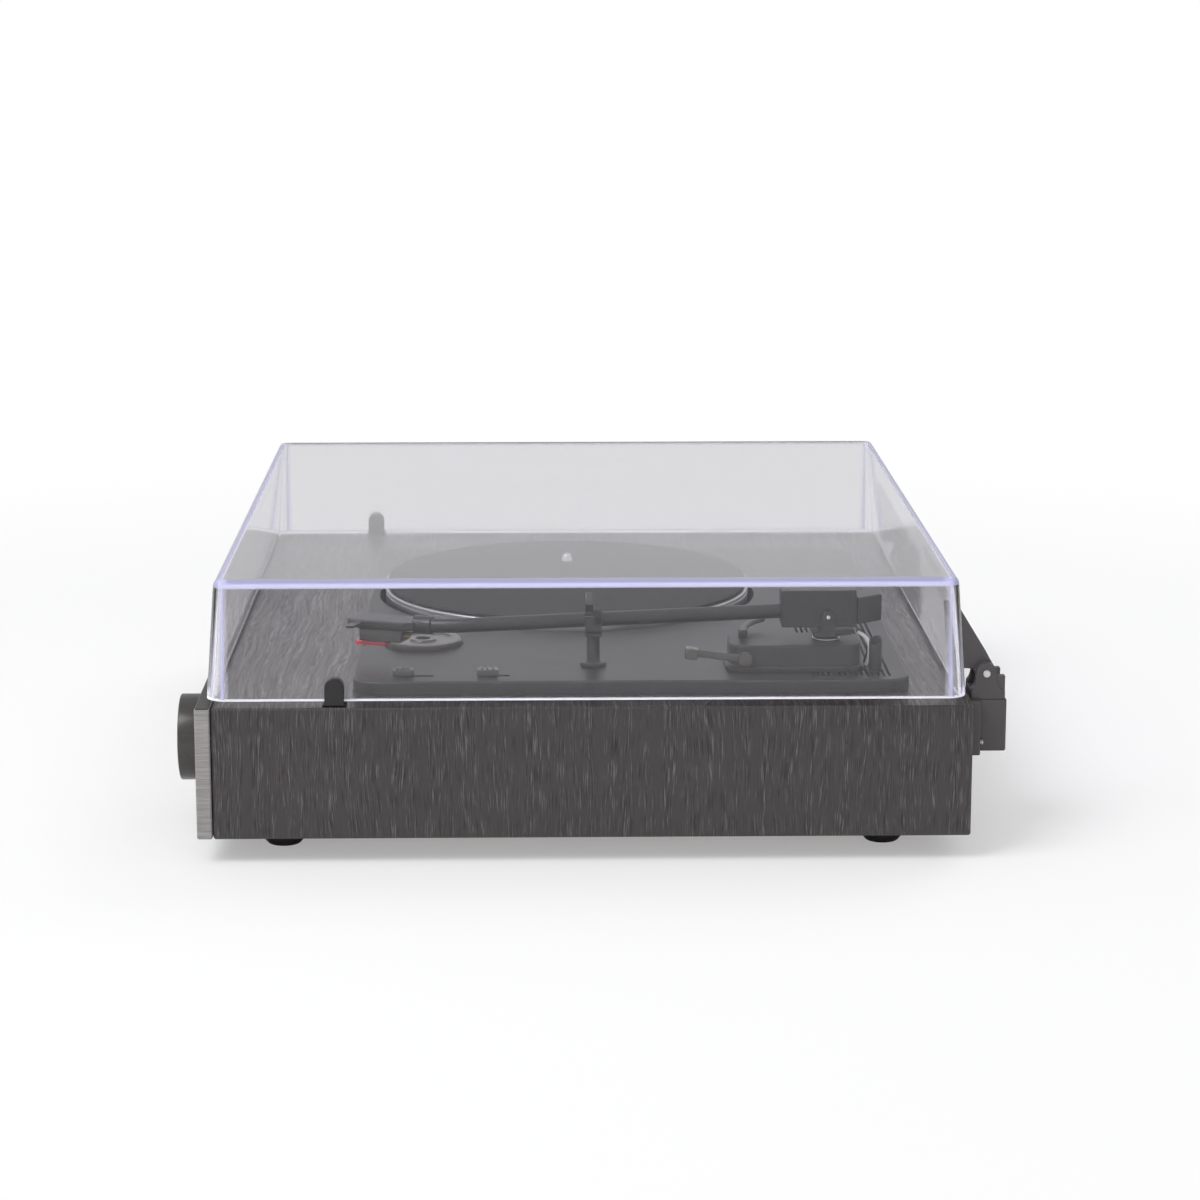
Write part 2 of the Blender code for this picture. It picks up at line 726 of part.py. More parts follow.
def make_front_panel():
    """The brushed panel with its holes for the volume control and the lamp."""
    panel = block(
        "front_panel",
        (-SIDE_X, FRONT_Y, FOOT_HEIGHT),
        (SIDE_X, FRONT_Y + PANEL_THICKNESS, PLINTH_TOP_Z),
        "brushed_panel",
    )
    ease(panel, PANEL_EDGE_RADIUS, 1)
    through = PANEL_THICKNESS + OVERRUN * 2
    start = FRONT_Y - OVERRUN
    bushing = rod(
        "bushing_hole", (KNOB_X, start, KNOB_Z), BUSHING_RADIUS + REST_GAP, through, axis="Y"
    )
    lamp_x = KNOB_X - LAMP_FROM_KNOB
    lamp_hole = rod(
        "lamp_hole", (lamp_x, start, KNOB_Z), LAMP_RADIUS + REST_GAP, through, axis="Y", sides=COARSE
    )
    cut(panel, bushing, lamp_hole)
    nose = LAMP_RADIUS / 2
    back = -(LAMP_STANDOFF + PANEL_THICKNESS - REST_GAP)
    turned(
        "power_lamp",
        ((0, 0), (nose, -nose / 4), (LAMP_RADIUS, -nose), (LAMP_RADIUS, back), (0, back)),
        (lamp_x, FRONT_Y - LAMP_STANDOFF, KNOB_Z),
        "lamp_red",
        axis="-Y",
        sides=COARSE,
    )


def make_volume_control():
    """The knob, its shaft and the control that is clamped to the front panel."""
    can_front = PANEL_THICKNESS + REST_GAP
    tip = KNOB_STANDOFF - KNOB_FACE
    control = turned(
        "volume_control",
        (
            (0, BUSHING_REACH),
            (BUSHING_RADIUS, BUSHING_REACH),
            (BUSHING_RADIUS, REST_GAP + NUT_THICKNESS),
            (NUT_RADIUS, REST_GAP + NUT_THICKNESS),
            (NUT_RADIUS, REST_GAP),
            (BUSHING_RADIUS, REST_GAP),
            (BUSHING_RADIUS, -can_front),
            (CONTROL_CAN_RADIUS, -can_front),
            (CONTROL_CAN_RADIUS, -can_front - CONTROL_CAN_DEPTH),
            (0, -can_front - CONTROL_CAN_DEPTH),
        ),
        (KNOB_X, FRONT_Y, KNOB_Z),
        "zinc_steel",
        axis="-Y",
    )
    shaft_reach = PANEL_THICKNESS + CONTROL_CAN_DEPTH / 2
    bore = rod(
        "control_bore",
        (KNOB_X, FRONT_Y - BUSHING_REACH - OVERRUN, KNOB_Z),
        SHAFT_RADIUS + REST_GAP,
        BUSHING_REACH + OVERRUN + shaft_reach + REST_GAP,
        axis="Y",
    )
    cut(control, bore)
    rod(
        "volume_shaft",
        (KNOB_X, FRONT_Y - tip + REST_GAP, KNOB_Z),
        SHAFT_RADIUS,
        tip - REST_GAP + shaft_reach,
        "polished_steel",
        axis="Y",
    )
    edge = KNOB_EDGE_RADIUS
    bore_radius = SHAFT_RADIUS + REST_GAP
    recess_radius = NUT_RADIUS + RUNNING_GAP
    turned(
        "volume_knob",
        (
            (0, KNOB_STANDOFF),
            (KNOB_RADIUS - edge, KNOB_STANDOFF),
            (KNOB_RADIUS - edge / 4, KNOB_STANDOFF - edge / 4),
            (KNOB_RADIUS, KNOB_STANDOFF - edge),
            (KNOB_RADIUS, KNOB_BACK_GAP),
            (recess_radius, KNOB_BACK_GAP),
            (recess_radius, KNOB_BACK_GAP + KNOB_RECESS_DEPTH),
            (bore_radius, KNOB_BACK_GAP + KNOB_RECESS_DEPTH),
            (bore_radius, tip),
            (0, tip),
        ),
        (KNOB_X, FRONT_Y, KNOB_Z),
        "satin_black",
        axis="-Y",
        sides=FINE,
    )


def make_terminals():
    """The terminal plate with the speaker, line and power sockets."""
    half, rise = TERMINAL_LENGTH / 2, TERMINAL_HEIGHT / 2
    plate_front = REAR_Y + REST_GAP
    panel = block(
        "terminal_plate",
        (TERMINAL_X - half, plate_front, TERMINAL_Z - rise),
        (TERMINAL_X + half, plate_front + TERMINAL_THICKNESS, TERMINAL_Z + rise),
        "satin_black",
    )
    face = plate_front + TERMINAL_THICKNESS
    names = (
        "power_inlet",
        "line_jack_left",
        "line_jack_right",
        "speaker_jack_left",
        "speaker_jack_right",
    )
    pitch = (TERMINAL_LENGTH - JACK_END_MARGIN * 2) / (len(names) - 1)
    for n, name in enumerate(names):
        x = TERMINAL_X - half + JACK_END_MARGIN + n * pitch
        inlet = name == "power_inlet"
        barrel = INLET_RADIUS if inlet else JACK_BARREL_RADIUS
        bore = INLET_BORE_RADIUS if inlet else JACK_BORE_RADIUS
        depth = INLET_BORE_DEPTH if inlet else JACK_BORE_DEPTH
        flange = JACK_FLANGE_RADIUS + (INLET_RADIUS - JACK_BARREL_RADIUS if inlet else 0)
        reach = JACK_FLANGE_THICKNESS + REST_GAP + (0 if inlet else JACK_BARREL_LENGTH)
        tail = -TERMINAL_THICKNESS - JACK_TAIL_LENGTH
        profile = [(0, reach - depth), (bore, reach - depth), (bore, reach), (barrel, reach)]
        if not inlet:
            profile.append((barrel, REST_GAP + JACK_FLANGE_THICKNESS))
        else:
            pin = reach - OVERRUN / 2
            profile = [(0, pin), (INLET_PIN_RADIUS, pin), (INLET_PIN_RADIUS, reach - depth)] + profile[1:]
        profile += [
            (flange, REST_GAP + JACK_FLANGE_THICKNESS),
            (flange, REST_GAP),
            (barrel, REST_GAP),
            (barrel, tail),
            (0, tail),
        ]
        slot = "satin_black" if inlet else "zinc_steel"
        turned(name, profile, (x, face, TERMINAL_Z), slot, axis="Y", sides=COARSE)
        hole = rod(
            name + "_hole",
            (x, plate_front - OVERRUN, TERMINAL_Z),
            barrel + REST_GAP,
            TERMINAL_THICKNESS + OVERRUN * 2,
            axis="Y",
            sides=COARSE,
        )
        cut(panel, hole)


def make_amplifier():
    """The amplifier board on its spacers, with a finned heat sink."""
    left = -SIDE_X + WALL + BOARD_FROM_LEFT
    rear = REAR_Y - WALL - BOARD_FROM_REAR
    low_z = BASE_TOP_Z + REST_GAP + BOARD_STANDOFF
    high_z = low_z + BOARD_THICKNESS
    board = block(
        "amplifier_board",
        (left, rear - BOARD_WIDTH, low_z),
        (left + BOARD_LENGTH, rear, high_z),
        "circuit_board",
    )
    for x in (left + BOARD_POST_INSET, left + BOARD_LENGTH - BOARD_POST_INSET):
        for y in (rear - BOARD_POST_INSET, rear - BOARD_WIDTH + BOARD_POST_INSET):
            start = BASE_TOP_Z + REST_GAP
            length = BOARD_STANDOFF + BOARD_THICKNESS / 2
            join(board, rod("spacer", (x, y, start), BOARD_POST_RADIUS, length, sides=COARSE))
    sink_left = left + (BOARD_LENGTH - SINK_LENGTH) / 2
    sink_front = rear - BOARD_WIDTH + BOARD_POST_INSET * 2
    sink_low = high_z + REST_GAP
    sink = block(
        "heat_sink",
        (sink_left, sink_front, sink_low),
        (sink_left + SINK_LENGTH, sink_front + SINK_DEPTH, sink_low + SINK_HEIGHT),
        "cast_aluminium",
    )
    room = (SINK_LENGTH - SINK_FIN * SINK_FIN_COUNT) / (SINK_FIN_COUNT - 1)
    for n in range(SINK_FIN_COUNT - 1):
        x = sink_left + SINK_FIN + n * (room + SINK_FIN)
        gap = block(
            "fin_gap",
            (x, sink_front + SINK_ROOT, sink_low - OVERRUN),
            (x + room, sink_front + SINK_DEPTH + OVERRUN, sink_low + SINK_HEIGHT + OVERRUN),
        )
        cut(sink, gap)


def motor_place():
    """Where the motor's shaft stands, beside the drive ring."""
    turn = math.radians(MOTOR_BEARING_DEG)
    return SPINDLE_X + MOTOR_DISTANCE * math.cos(turn), SPINDLE_Y + MOTOR_DISTANCE * math.sin(turn)


def switch_x():
    """The line that both slide switches stand on."""
    return DECK_RIGHT_X - SWITCH_FROM_SIDE


def make_deck():
    """The moulded deck: a plate with ribs behind the arm and a well for the platter."""
    outline = rounded(
        (DECK_LEFT_X, DECK_FRONT_Y), (DECK_RIGHT_X, DECK_REAR_Y), DECK_CORNER_RADIUS
    )
    deck = plate("deck_plate", [outline], DECK_UNDER_Z, DECK_Z, "deck_plastic")
    ease(deck, DECK_EDGE_RADIUS)
    pan = rod(
        "pan",
        (SPINDLE_X, SPINDLE_Y, PAN_UNDER_Z),
        WELL_RADIUS + WELL_WALL,
        DECK_UNDER_Z + DECK_THICKNESS / 2 - PAN_UNDER_Z,
        sides=FINE,
    )
    join(deck, pan)
    well = rod(
        "well",
        (SPINDLE_X, SPINDLE_Y, WELL_FLOOR_Z),
        WELL_RADIUS,
        WELL_DEPTH + OVERRUN,
        sides=FINE,
    )
    motor_x, motor_y = motor_place()
    floor_low = PAN_UNDER_Z - OVERRUN
    floor_through = WELL_WALL + OVERRUN * 2
    bearing_hole = rod(
        "bearing_hole", (SPINDLE_X, SPINDLE_Y, floor_low), BUSH_RADIUS + REST_GAP, floor_through
    )
    shaft_hole = rod(
        "motor_shaft_hole", (motor_x, motor_y, floor_low), MOTOR_SHAFT_HOLE, floor_through, sides=COARSE
    )
    cut(deck, well, bearing_hole, shaft_hole)
    right = DECK_RIGHT_X - RIB_FROM_SIDE
    groove_low = DECK_Z - RIB_GROOVE_DEPTH
    for n in range(RIB_COUNT):
        y = DECK_REAR_Y - RIB_FROM_REAR - n * RIB_PITCH
        groove = block(
            "groove",
            (right - RIB_LENGTH, y - RIB_GROOVE_WIDTH, groove_low),
            (right, y, DECK_Z + OVERRUN),
        )
        cut(deck, groove)
    recess = rod(
        "adapter_recess",
        (*adapter_place(), DECK_Z - ADAPTER_SINK),
        ADAPTER_RADIUS + RUNNING_GAP,
        ADAPTER_SINK + OVERRUN,
    )
    cut(deck, recess)
    for front, travel in switch_runs():
        slot = block(
            "switch_slot",
            (switch_x() - SWITCH_STEM_WIDTH / 2 - REST_GAP, front - REST_GAP, DECK_UNDER_Z - OVERRUN),
            (
                switch_x() + SWITCH_STEM_WIDTH / 2 + REST_GAP,
                front + SWITCH_STEM_LENGTH + travel + REST_GAP,
                DECK_Z + OVERRUN,
            ),
        )
        cut(deck, slot)


def switch_runs():
    """Front end of the slot and travel of each slide switch."""
    return (
        (DECK_FRONT_Y + SPEED_SWITCH_FROM_FRONT, SPEED_SWITCH_TRAVEL),
        (DECK_FRONT_Y + STOP_SWITCH_FROM_FRONT, STOP_SWITCH_TRAVEL),
    )


def adapter_place():
    """The middle of the recess for the large-hole adapter."""
    return DECK_RIGHT_X - ADAPTER_FROM_SIDE, DECK_FRONT_Y + ADAPTER_FROM_FRONT


def make_switches():
    """The speed and auto-stop sliders, each a cap on a stem in its slot."""
    for name, (front, _) in zip(("speed_switch", "auto_stop_switch"), switch_runs()):
        middle = front + SWITCH_STEM_LENGTH / 2
        cap_low = DECK_Z + REST_GAP
        cap = block(
            name,
            (switch_x() - SWITCH_CAP_WIDTH / 2, middle - SWITCH_CAP_LENGTH / 2, cap_low),
            (
                switch_x() + SWITCH_CAP_WIDTH / 2,
                middle + SWITCH_CAP_LENGTH / 2,
                cap_low + SWITCH_CAP_HEIGHT,
            ),
            "satin_black",
        )
        stem = block(
            name + "_stem",
            (switch_x() - SWITCH_STEM_WIDTH / 2, front, DECK_UNDER_Z),
            (
                switch_x() + SWITCH_STEM_WIDTH / 2,
                front + SWITCH_STEM_LENGTH,
                cap_low + SWITCH_CAP_HEIGHT / 2,
            ),
        )
        join(cap, stem)


def make_adapter():
    """The adapter for records with a large hole, lying in its recess."""
    low = REST_GAP - ADAPTER_SINK
    high = low + ADAPTER_THICKNESS
    bevel = ADAPTER_SINK / 2
    turned(
        "adapter_45",
        (
            (ADAPTER_HOLE_RADIUS, high),
            (ADAPTER_RADIUS - bevel, high),
            (ADAPTER_RADIUS, high - bevel),
            (ADAPTER_RADIUS, low),
            (ADAPTER_HOLE_RADIUS, low),
        ),
        (*adapter_place(), DECK_Z),
        "satin_black",
        sides=ROUND,
        ring=True,
    )


def make_platter():
    """The cast platter with its drive ring and hub, the mat, the spindle and its bearing."""
    at = (SPINDLE_X, SPINDLE_Y, 0)
    rim = PLATTER_RADIUS - PLATTER_RIM
    bore = SPINDLE_RADIUS + REST_GAP
    ring_in = DRIVE_RING_RADIUS - DRIVE_RING_WALL
    easing = PLATTER_DISC / 4
    turned(
        "platter",
        (
            (bore, PLATTER_TOP_Z),
            (PLATTER_RADIUS - easing, PLATTER_TOP_Z),
            (PLATTER_RADIUS, PLATTER_TOP_Z - easing),
            (PLATTER_RADIUS, PLATTER_LOW_Z),
            (rim, PLATTER_LOW_Z),
            (rim, PLATTER_UNDER_Z),
            (DRIVE_RING_RADIUS, PLATTER_UNDER_Z),
            (DRIVE_RING_RADIUS, PLATTER_LOW_Z),
            (ring_in, PLATTER_LOW_Z),
            (ring_in, PLATTER_UNDER_Z),
            (HUB_RADIUS, PLATTER_UNDER_Z),
            (HUB_RADIUS, PLATTER_LOW_Z),
            (bore, PLATTER_LOW_Z),
        ),
        at,
        "cast_aluminium",
        sides=FINE,
        ring=True,
    )
    mat_radius = PLATTER_RADIUS - MAT_INSET
    mat_low = PLATTER_TOP_Z + REST_GAP
    turned(
        "slip_mat",
        ((bore, MAT_TOP_Z), (mat_radius, MAT_TOP_Z), (mat_radius, mat_low), (bore, mat_low)),
        at,
        "felt",
        sides=FINE,
        ring=True,
    )
    tip = MAT_TOP_Z + SPINDLE_TIP_RISE
    bottom = WELL_FLOOR_Z - SPINDLE_BOTTOM_DROP
    nose = SPINDLE_RADIUS
    turned(
        "spindle",
        (
            (0, tip),
            (nose / 2, tip - SPINDLE_NOSE / 6),
            (nose * 5 / 6, tip - SPINDLE_NOSE / 2),
            (nose, tip - SPINDLE_NOSE),
            (nose, bottom),
            (0, bottom),
        ),
        at,
        "polished_steel",
        sides=COARSE,
    )
    bush_low = bottom - REST_GAP - BUSH_FLOOR
    flange_top = PAN_UNDER_Z - REST_GAP
    turned(
        "spindle_bearing",
        (
            (0, bottom - REST_GAP),
            (bore, bottom - REST_GAP),
            (bore, BUSH_TOP_Z),
            (BUSH_RADIUS, BUSH_TOP_Z),
            (BUSH_RADIUS, flange_top),
            (BUSH_FLANGE_RADIUS, flange_top),
            (BUSH_FLANGE_RADIUS, flange_top - BUSH_FLANGE_THICKNESS),
            (BUSH_RADIUS, flange_top - BUSH_FLANGE_THICKNESS),
            (BUSH_RADIUS, bush_low),
            (0, bush_low),
        ),
        at,
        "brass",
    )


def belt_loop(extra):
    """The belt's line round drive ring and pulley, at a distance outside both."""
    big, small = DRIVE_RING_RADIUS + extra, PULLEY_RADIUS + extra
    bearing = math.radians(MOTOR_BEARING_DEG)
    lean = math.acos((big - small) / MOTOR_DISTANCE)
    large = arc(
        (SPINDLE_X, SPINDLE_Y), big, bearing + lean, bearing - lean + math.pi * 2, FINE
    )
    return large + arc(motor_place(), small, bearing - lean, bearing + lean, COARSE)


def make_drive():
    """The motor below the pan, its pulley inside the well and the belt to the drive ring."""
    x, y = motor_place()
    low = WELL_FLOOR_Z + BELT_FROM_FLOOR
    plate(
        "drive_belt",
        [belt_loop(REST_GAP + BELT_THICKNESS), belt_loop(REST_GAP)],
        low,
        low + BELT_HEIGHT,
        "rubber",
    )
    motor_top = PAN_UNDER_Z - REST_GAP
    shaft_low = motor_top - MOTOR_SHAFT_DEPTH
    hole = MOTOR_SHAFT_RADIUS + REST_GAP
    turned(
        "motor",
        (
            (0, shaft_low - REST_GAP),
            (hole, shaft_low - REST_GAP),
            (hole, WELL_FLOOR_Z),
            (MOTOR_NOSE_RADIUS, WELL_FLOOR_Z),
            (MOTOR_NOSE_RADIUS, motor_top),
            (MOTOR_RADIUS, motor_top),
            (MOTOR_RADIUS, motor_top - MOTOR_HEIGHT),
            (0, motor_top - MOTOR_HEIGHT),
        ),
        (x, y, 0),
        "zinc_steel",
    )
    lower = low - REST_GAP
    upper = low + BELT_HEIGHT + REST_GAP
    flange = PULLEY_RADIUS + PULLEY_FLANGE
    turned(
        "motor_pulley",
        (
            (0, upper + PULLEY_FLANGE_THICKNESS),
            (flange, upper + PULLEY_FLANGE_THICKNESS),
            (flange, upper),
            (PULLEY_RADIUS, upper),
            (PULLEY_RADIUS, lower),
            (flange, lower),
            (flange, lower - PULLEY_FLANGE_THICKNESS),
            (MOTOR_SHAFT_RADIUS, lower - PULLEY_FLANGE_THICKNESS),
            (MOTOR_SHAFT_RADIUS, shaft_low),
            (0, shaft_low),
        ),
        (x, y, 0),
        "brass",
        sides=COARSE,
    )


def base_outline(grow):
    """The arm platform's outline, grown by a flare."""
    half = BASE_WIDTH / 2 + grow
    return rounded(
        (PIVOT_X - half, PIVOT_Y - BASE_AHEAD_OF_PIVOT - grow),
        (PIVOT_X + half, PIVOT_Y + BASE_BEHIND_PIVOT + grow),
        BASE_CORNER_RADIUS + grow,
        5,
    )


def post_bottom_z():
    """The foot of the arm's upright bearing, inside the platform."""
    return BASE_PLATFORM_Z - SWIVEL_POST_DEPTH


def lift_stem_place():
    """Where the cueing lift's stem stands, on the lift's arc."""
    turn = math.radians(270 - LIFT_STEM_DEG)
    return PIVOT_X + LIFT_ARC_RADIUS * math.cos(turn), PIVOT_Y + LIFT_ARC_RADIUS * math.sin(turn)


def lever_axis():
    """Where the cueing lever turns, as y and z on the platform's side."""
    y = PIVOT_Y - BASE_AHEAD_OF_PIVOT + LEVER_FROM_BASE_FRONT
    return y, BASE_DECK_Z + LEVER_RISE


def make_arm_base():
    """The raised platform with its bearing bore, and the ring that the arm turns in."""
    base = plate("tonearm_base", [base_outline(0)], BASE_DECK_Z, BASE_PLATFORM_Z, "deck_plastic")
    foot = plate(
        "base_flare", [base_outline(BASE_FOOT_FLARE)], BASE_DECK_Z, BASE_DECK_Z + BASE_FOOT_HEIGHT
    )
    join(base, foot)
    bore = rod(
        "swivel_bore",
        (PIVOT_X, PIVOT_Y, post_bottom_z() - REST_GAP),
        SWIVEL_POST_RADIUS + REST_GAP,
        SWIVEL_POST_DEPTH + REST_GAP + OVERRUN,
    )
    stem_bore = rod(
        "stem_bore",
        (*lift_stem_place(), BASE_PLATFORM_Z - LIFT_STEM_DEPTH - REST_GAP),
        LIFT_STEM_RADIUS + REST_GAP,
        LIFT_STEM_DEPTH + REST_GAP + OVERRUN,
        sides=COARSE,
    )
    side = PIVOT_X + BASE_WIDTH / 2
    axle_bore = rod(
        "axle_bore",
        (side - LEVER_AXLE_DEPTH - REST_GAP, *lever_axis()),
        LEVER_AXLE_RADIUS + REST_GAP,
        LEVER_AXLE_DEPTH + REST_GAP + OVERRUN,
        axis="X",
        sides=COARSE,
    )
    cut(base, bore, stem_bore, axle_bore)
    inner = SWIVEL_POST_RADIUS + REST_GAP
    ring_low = REST_GAP
    turned(
        "swivel_ring",
        (
            (inner, ring_low + SWIVEL_RING_THICKNESS),
            (SWIVEL_RING_RADIUS, ring_low + SWIVEL_RING_THICKNESS),
            (SWIVEL_RING_RADIUS, ring_low),
            (inner, ring_low),
        ),
        (PIVOT_X, PIVOT_Y, BASE_PLATFORM_Z),
        "polished_steel",
        ring=True,
    )


def make_yoke():
    """The forked bearing that turns on the platform and carries the arm's cross pin."""
    plate_low = BASE_PLATFORM_Z + YOKE_PLATE_RISE
    plate_high = plate_low + YOKE_PLATE_THICKNESS
    inner = ARM_BODY_WIDTH / 2 + REST_GAP
    outer = inner + YOKE_EAR_THICKNESS
    right = [
        (outer, -YOKE_PLATE_AHEAD),
        (outer, YOKE_EAR_RADIUS),
        (YOKE_TAIL_WIDTH / 2, YOKE_PLATE_BEHIND),
    ]
    outline = right + [(-x, y) for x, y in reversed(right)]
    shape = [(PIVOT_X + x, PIVOT_Y + y) for x, y in outline]
    yoke = plate("gimbal_yoke", [shape], plate_low, plate_high, "arm_plastic")
    post = rod(
        "swivel_post",
        (PIVOT_X, PIVOT_Y, post_bottom_z()),
        SWIVEL_POST_RADIUS,
        plate_low + YOKE_PLATE_THICKNESS / 2 - post_bottom_z(),
    )
    join(yoke, post)
    root = plate_low + YOKE_PLATE_THICKNESS / 2
    ear = [(PIVOT_Y + YOKE_EAR_RADIUS, root)]
    ear += arc((PIVOT_Y, PIVOT_Z), YOKE_EAR_RADIUS, 0, math.pi, 9)
    ear += [(PIVOT_Y - YOKE_EAR_RADIUS, root)]
    for low, high in ((-outer, -inner), (inner, outer)):
        join(yoke, plate("ear", [ear], PIVOT_X + low, PIVOT_X + high, plane="X"))
    bore = rod(
        "pin_bore",
        (PIVOT_X - outer - OVERRUN, PIVOT_Y, PIVOT_Z),
        PIN_RADIUS + REST_GAP,
        (outer + OVERRUN) * 2,
        axis="X",
        sides=COARSE,
    )
    cut(yoke, bore)
    rod(
        "pivot_pin",
        (PIVOT_X - outer - PIN_PROUD, PIVOT_Y, PIVOT_Z),
        PIN_RADIUS,
        (outer + PIN_PROUD) * 2,
        "polished_steel",
        axis="X",
        sides=COARSE,
    )


def tube_start():
    """Where the arm tube leaves the arm's body."""
    return Vector((PIVOT_X, PIVOT_Y - ARM_BODY_AHEAD + TUBE_SOCKET_DEPTH, PIVOT_Z + TUBE_START_RISE))


def tube_end():
    """Where the arm tube enters the headshell."""
    aside = TUBE_BEND_LENGTH / 2 * math.sin(math.radians(HEADSHELL_YAW_DEG))
    start = tube_start()
    return Vector((PIVOT_X - aside, PIVOT_Y - PIVOT_TO_HEADSHELL, start.z - TUBE_DROP))


def tube_line():
    """The arm tube's middle line: straight, then bent towards the record."""
    start, end = tube_start(), tube_end()
    bend = Vector((PIVOT_X, end.y + TUBE_BEND_LENGTH, 0))
    slope = (start.z - end.z) / (start.y - end.y)
    bend.z = start.z - slope * (start.y - bend.y)
    yaw = math.radians(HEADSHELL_YAW_DEG)
    points = [start, bend]
    steps = 4
    for n in range(1, steps):
        share = n / steps
        y = bend.y - TUBE_BEND_LENGTH * share
        x = PIVOT_X - (PIVOT_X - end.x) * share * share
        points.append(Vector((x, y, start.z - slope * (start.y - y))))
    points.append(end)
    ahead = Vector((-math.sin(yaw), -math.cos(yaw), 0)) * HEADSHELL_NECK_LENGTH / 2
    return points + [end + ahead]


def tube_z(y):
    """Height of the straight tube's middle at a place along it."""
    start, end = tube_start(), tube_end()
    return start.z - (start.z - end.z) * (start.y - y) / (start.y - end.y)


def make_arm():
    """The arm: body on the cross pin, tube, headshell, cartridge, stylus and weight."""
    half = ARM_BODY_WIDTH / 2
    body = block(
        "arm_body",
        (PIVOT_X - half, PIVOT_Y - ARM_BODY_AHEAD, PIVOT_Z - ARM_BODY_BELOW),
        (PIVOT_X + half, PIVOT_Y + ARM_BODY_BEHIND, PIVOT_Z + ARM_BODY_ABOVE),
        "arm_plastic",
    )
    ease(body, ARM_BODY_EDGE_RADIUS, 1)
    weight_z = PIVOT_Z + WEIGHT_RISE
    stub = rod(
        "weight_stub",
        (PIVOT_X, PIVOT_Y + ARM_BODY_BEHIND - OVERRUN, weight_z),
        STUB_RADIUS,
        STUB_LENGTH + OVERRUN,
        axis="Y",
        sides=COARSE,
    )
    join(body, stub)
    pin_bore = rod(
        "arm_pin_bore",
        (PIVOT_X - half - OVERRUN, PIVOT_Y, PIVOT_Z),
        PIN_RADIUS + REST_GAP,
        (half + OVERRUN) * 2,
        axis="X",
        sides=COARSE,
    )
    line = tube_line()
    back = (line[0] - line[1]).normalized() * REST_GAP
    ahead = (line[1] - line[0]).normalized() * (TUBE_SOCKET_DEPTH + OVERRUN)
    socket = tube("tube_socket", [line[0] + back, line[0] + ahead], TUBE_RADIUS + REST_GAP, None, 4)
    cut(body, pin_bore, socket)
    tube("tonearm_tube", line, TUBE_RADIUS, "arm_plastic", 4)
    make_headshell()
    make_weight(weight_z)


def make_headshell():
    """The angled headshell with its finger lift, cartridge and stylus."""
    yaw = bpy.data.objects.new("headshell_axis", None)
    bpy.data.collections["turntable"].objects.link(yaw)
    yaw.location = tube_end()
    yaw.rotation_euler = (0, 0, -math.radians(HEADSHELL_YAW_DEG))
    half, thick = HEADSHELL_WIDTH / 2, HEADSHELL_THICKNESS / 2
    shell = block(
        "headshell",
        (-half, -HEADSHELL_LENGTH, -thick),
        (half, -HEADSHELL_NECK_LENGTH + REST_GAP, thick),
        "arm_plastic",
    )
    ease(shell, HEADSHELL_EDGE_RADIUS, 1)
    neck = rod(
        "neck", (0, 0, 0), HEADSHELL_NECK_RADIUS, HEADSHELL_NECK_LENGTH + OVERRUN, axis="-Y"
    )
    tab_far = -HEADSHELL_LENGTH + LIFT_TAB_FROM_TIP
    tab = block(
        "finger_tab",
        (half - OVERRUN, tab_far, thick - LIFT_TAB_THICKNESS - HEADSHELL_EDGE_RADIUS),
        (half + LIFT_TAB_REACH, tab_far + LIFT_TAB_WIDTH, thick - HEADSHELL_EDGE_RADIUS),
    )
    join(shell, neck, tab)
    socket = rod(
        "neck_socket",
        (0, OVERRUN, 0),
        TUBE_RADIUS + REST_GAP,
        OVERRUN + HEADSHELL_NECK_LENGTH / 2 + REST_GAP,
        axis="-Y",
    )
    cut(shell, socket)
    tip = -HEADSHELL_LENGTH + CARTRIDGE_FROM_TIP
    cell_high = -thick - REST_GAP
    cell_low = cell_high - CARTRIDGE_HEIGHT
    cell = block(
        "cartridge",
        (-CARTRIDGE_WIDTH / 2, tip, cell_low),
        (CARTRIDGE_WIDTH / 2, tip + CARTRIDGE_LENGTH, cell_high),
        "satin_black",
    )
    ease(cell, HEADSHELL_EDGE_RADIUS, 1)
    nose = tip - STYLUS_NOSE_AHEAD
    high = cell_low - REST_GAP
    low = high - STYLUS_BODY_HEIGHT
    stylus = block(
        "stylus",
        (-STYLUS_BODY_WIDTH / 2, nose, low),
        (STYLUS_BODY_WIDTH / 2, nose + STYLUS_BODY_LENGTH, high),
        "stylus_red",
    )
    needle_y = nose + STYLUS_NOSE_AHEAD
    needle = turned(
        "needle",
        (
            (0, low + STYLUS_BODY_HEIGHT / 2),
            (NEEDLE_RADIUS, low + STYLUS_BODY_HEIGHT / 2),
            (NEEDLE_RADIUS, low - NEEDLE_HEIGHT / 2),
            (NEEDLE_RADIUS / 3, low - NEEDLE_HEIGHT),
            (0, low - NEEDLE_HEIGHT),
        ),
        (0, needle_y, 0),
        sides=12,
    )
    join(stylus, needle)
    for thing in (shell, neck, tab, socket, cell, stylus, needle):
        thing.parent = yaw


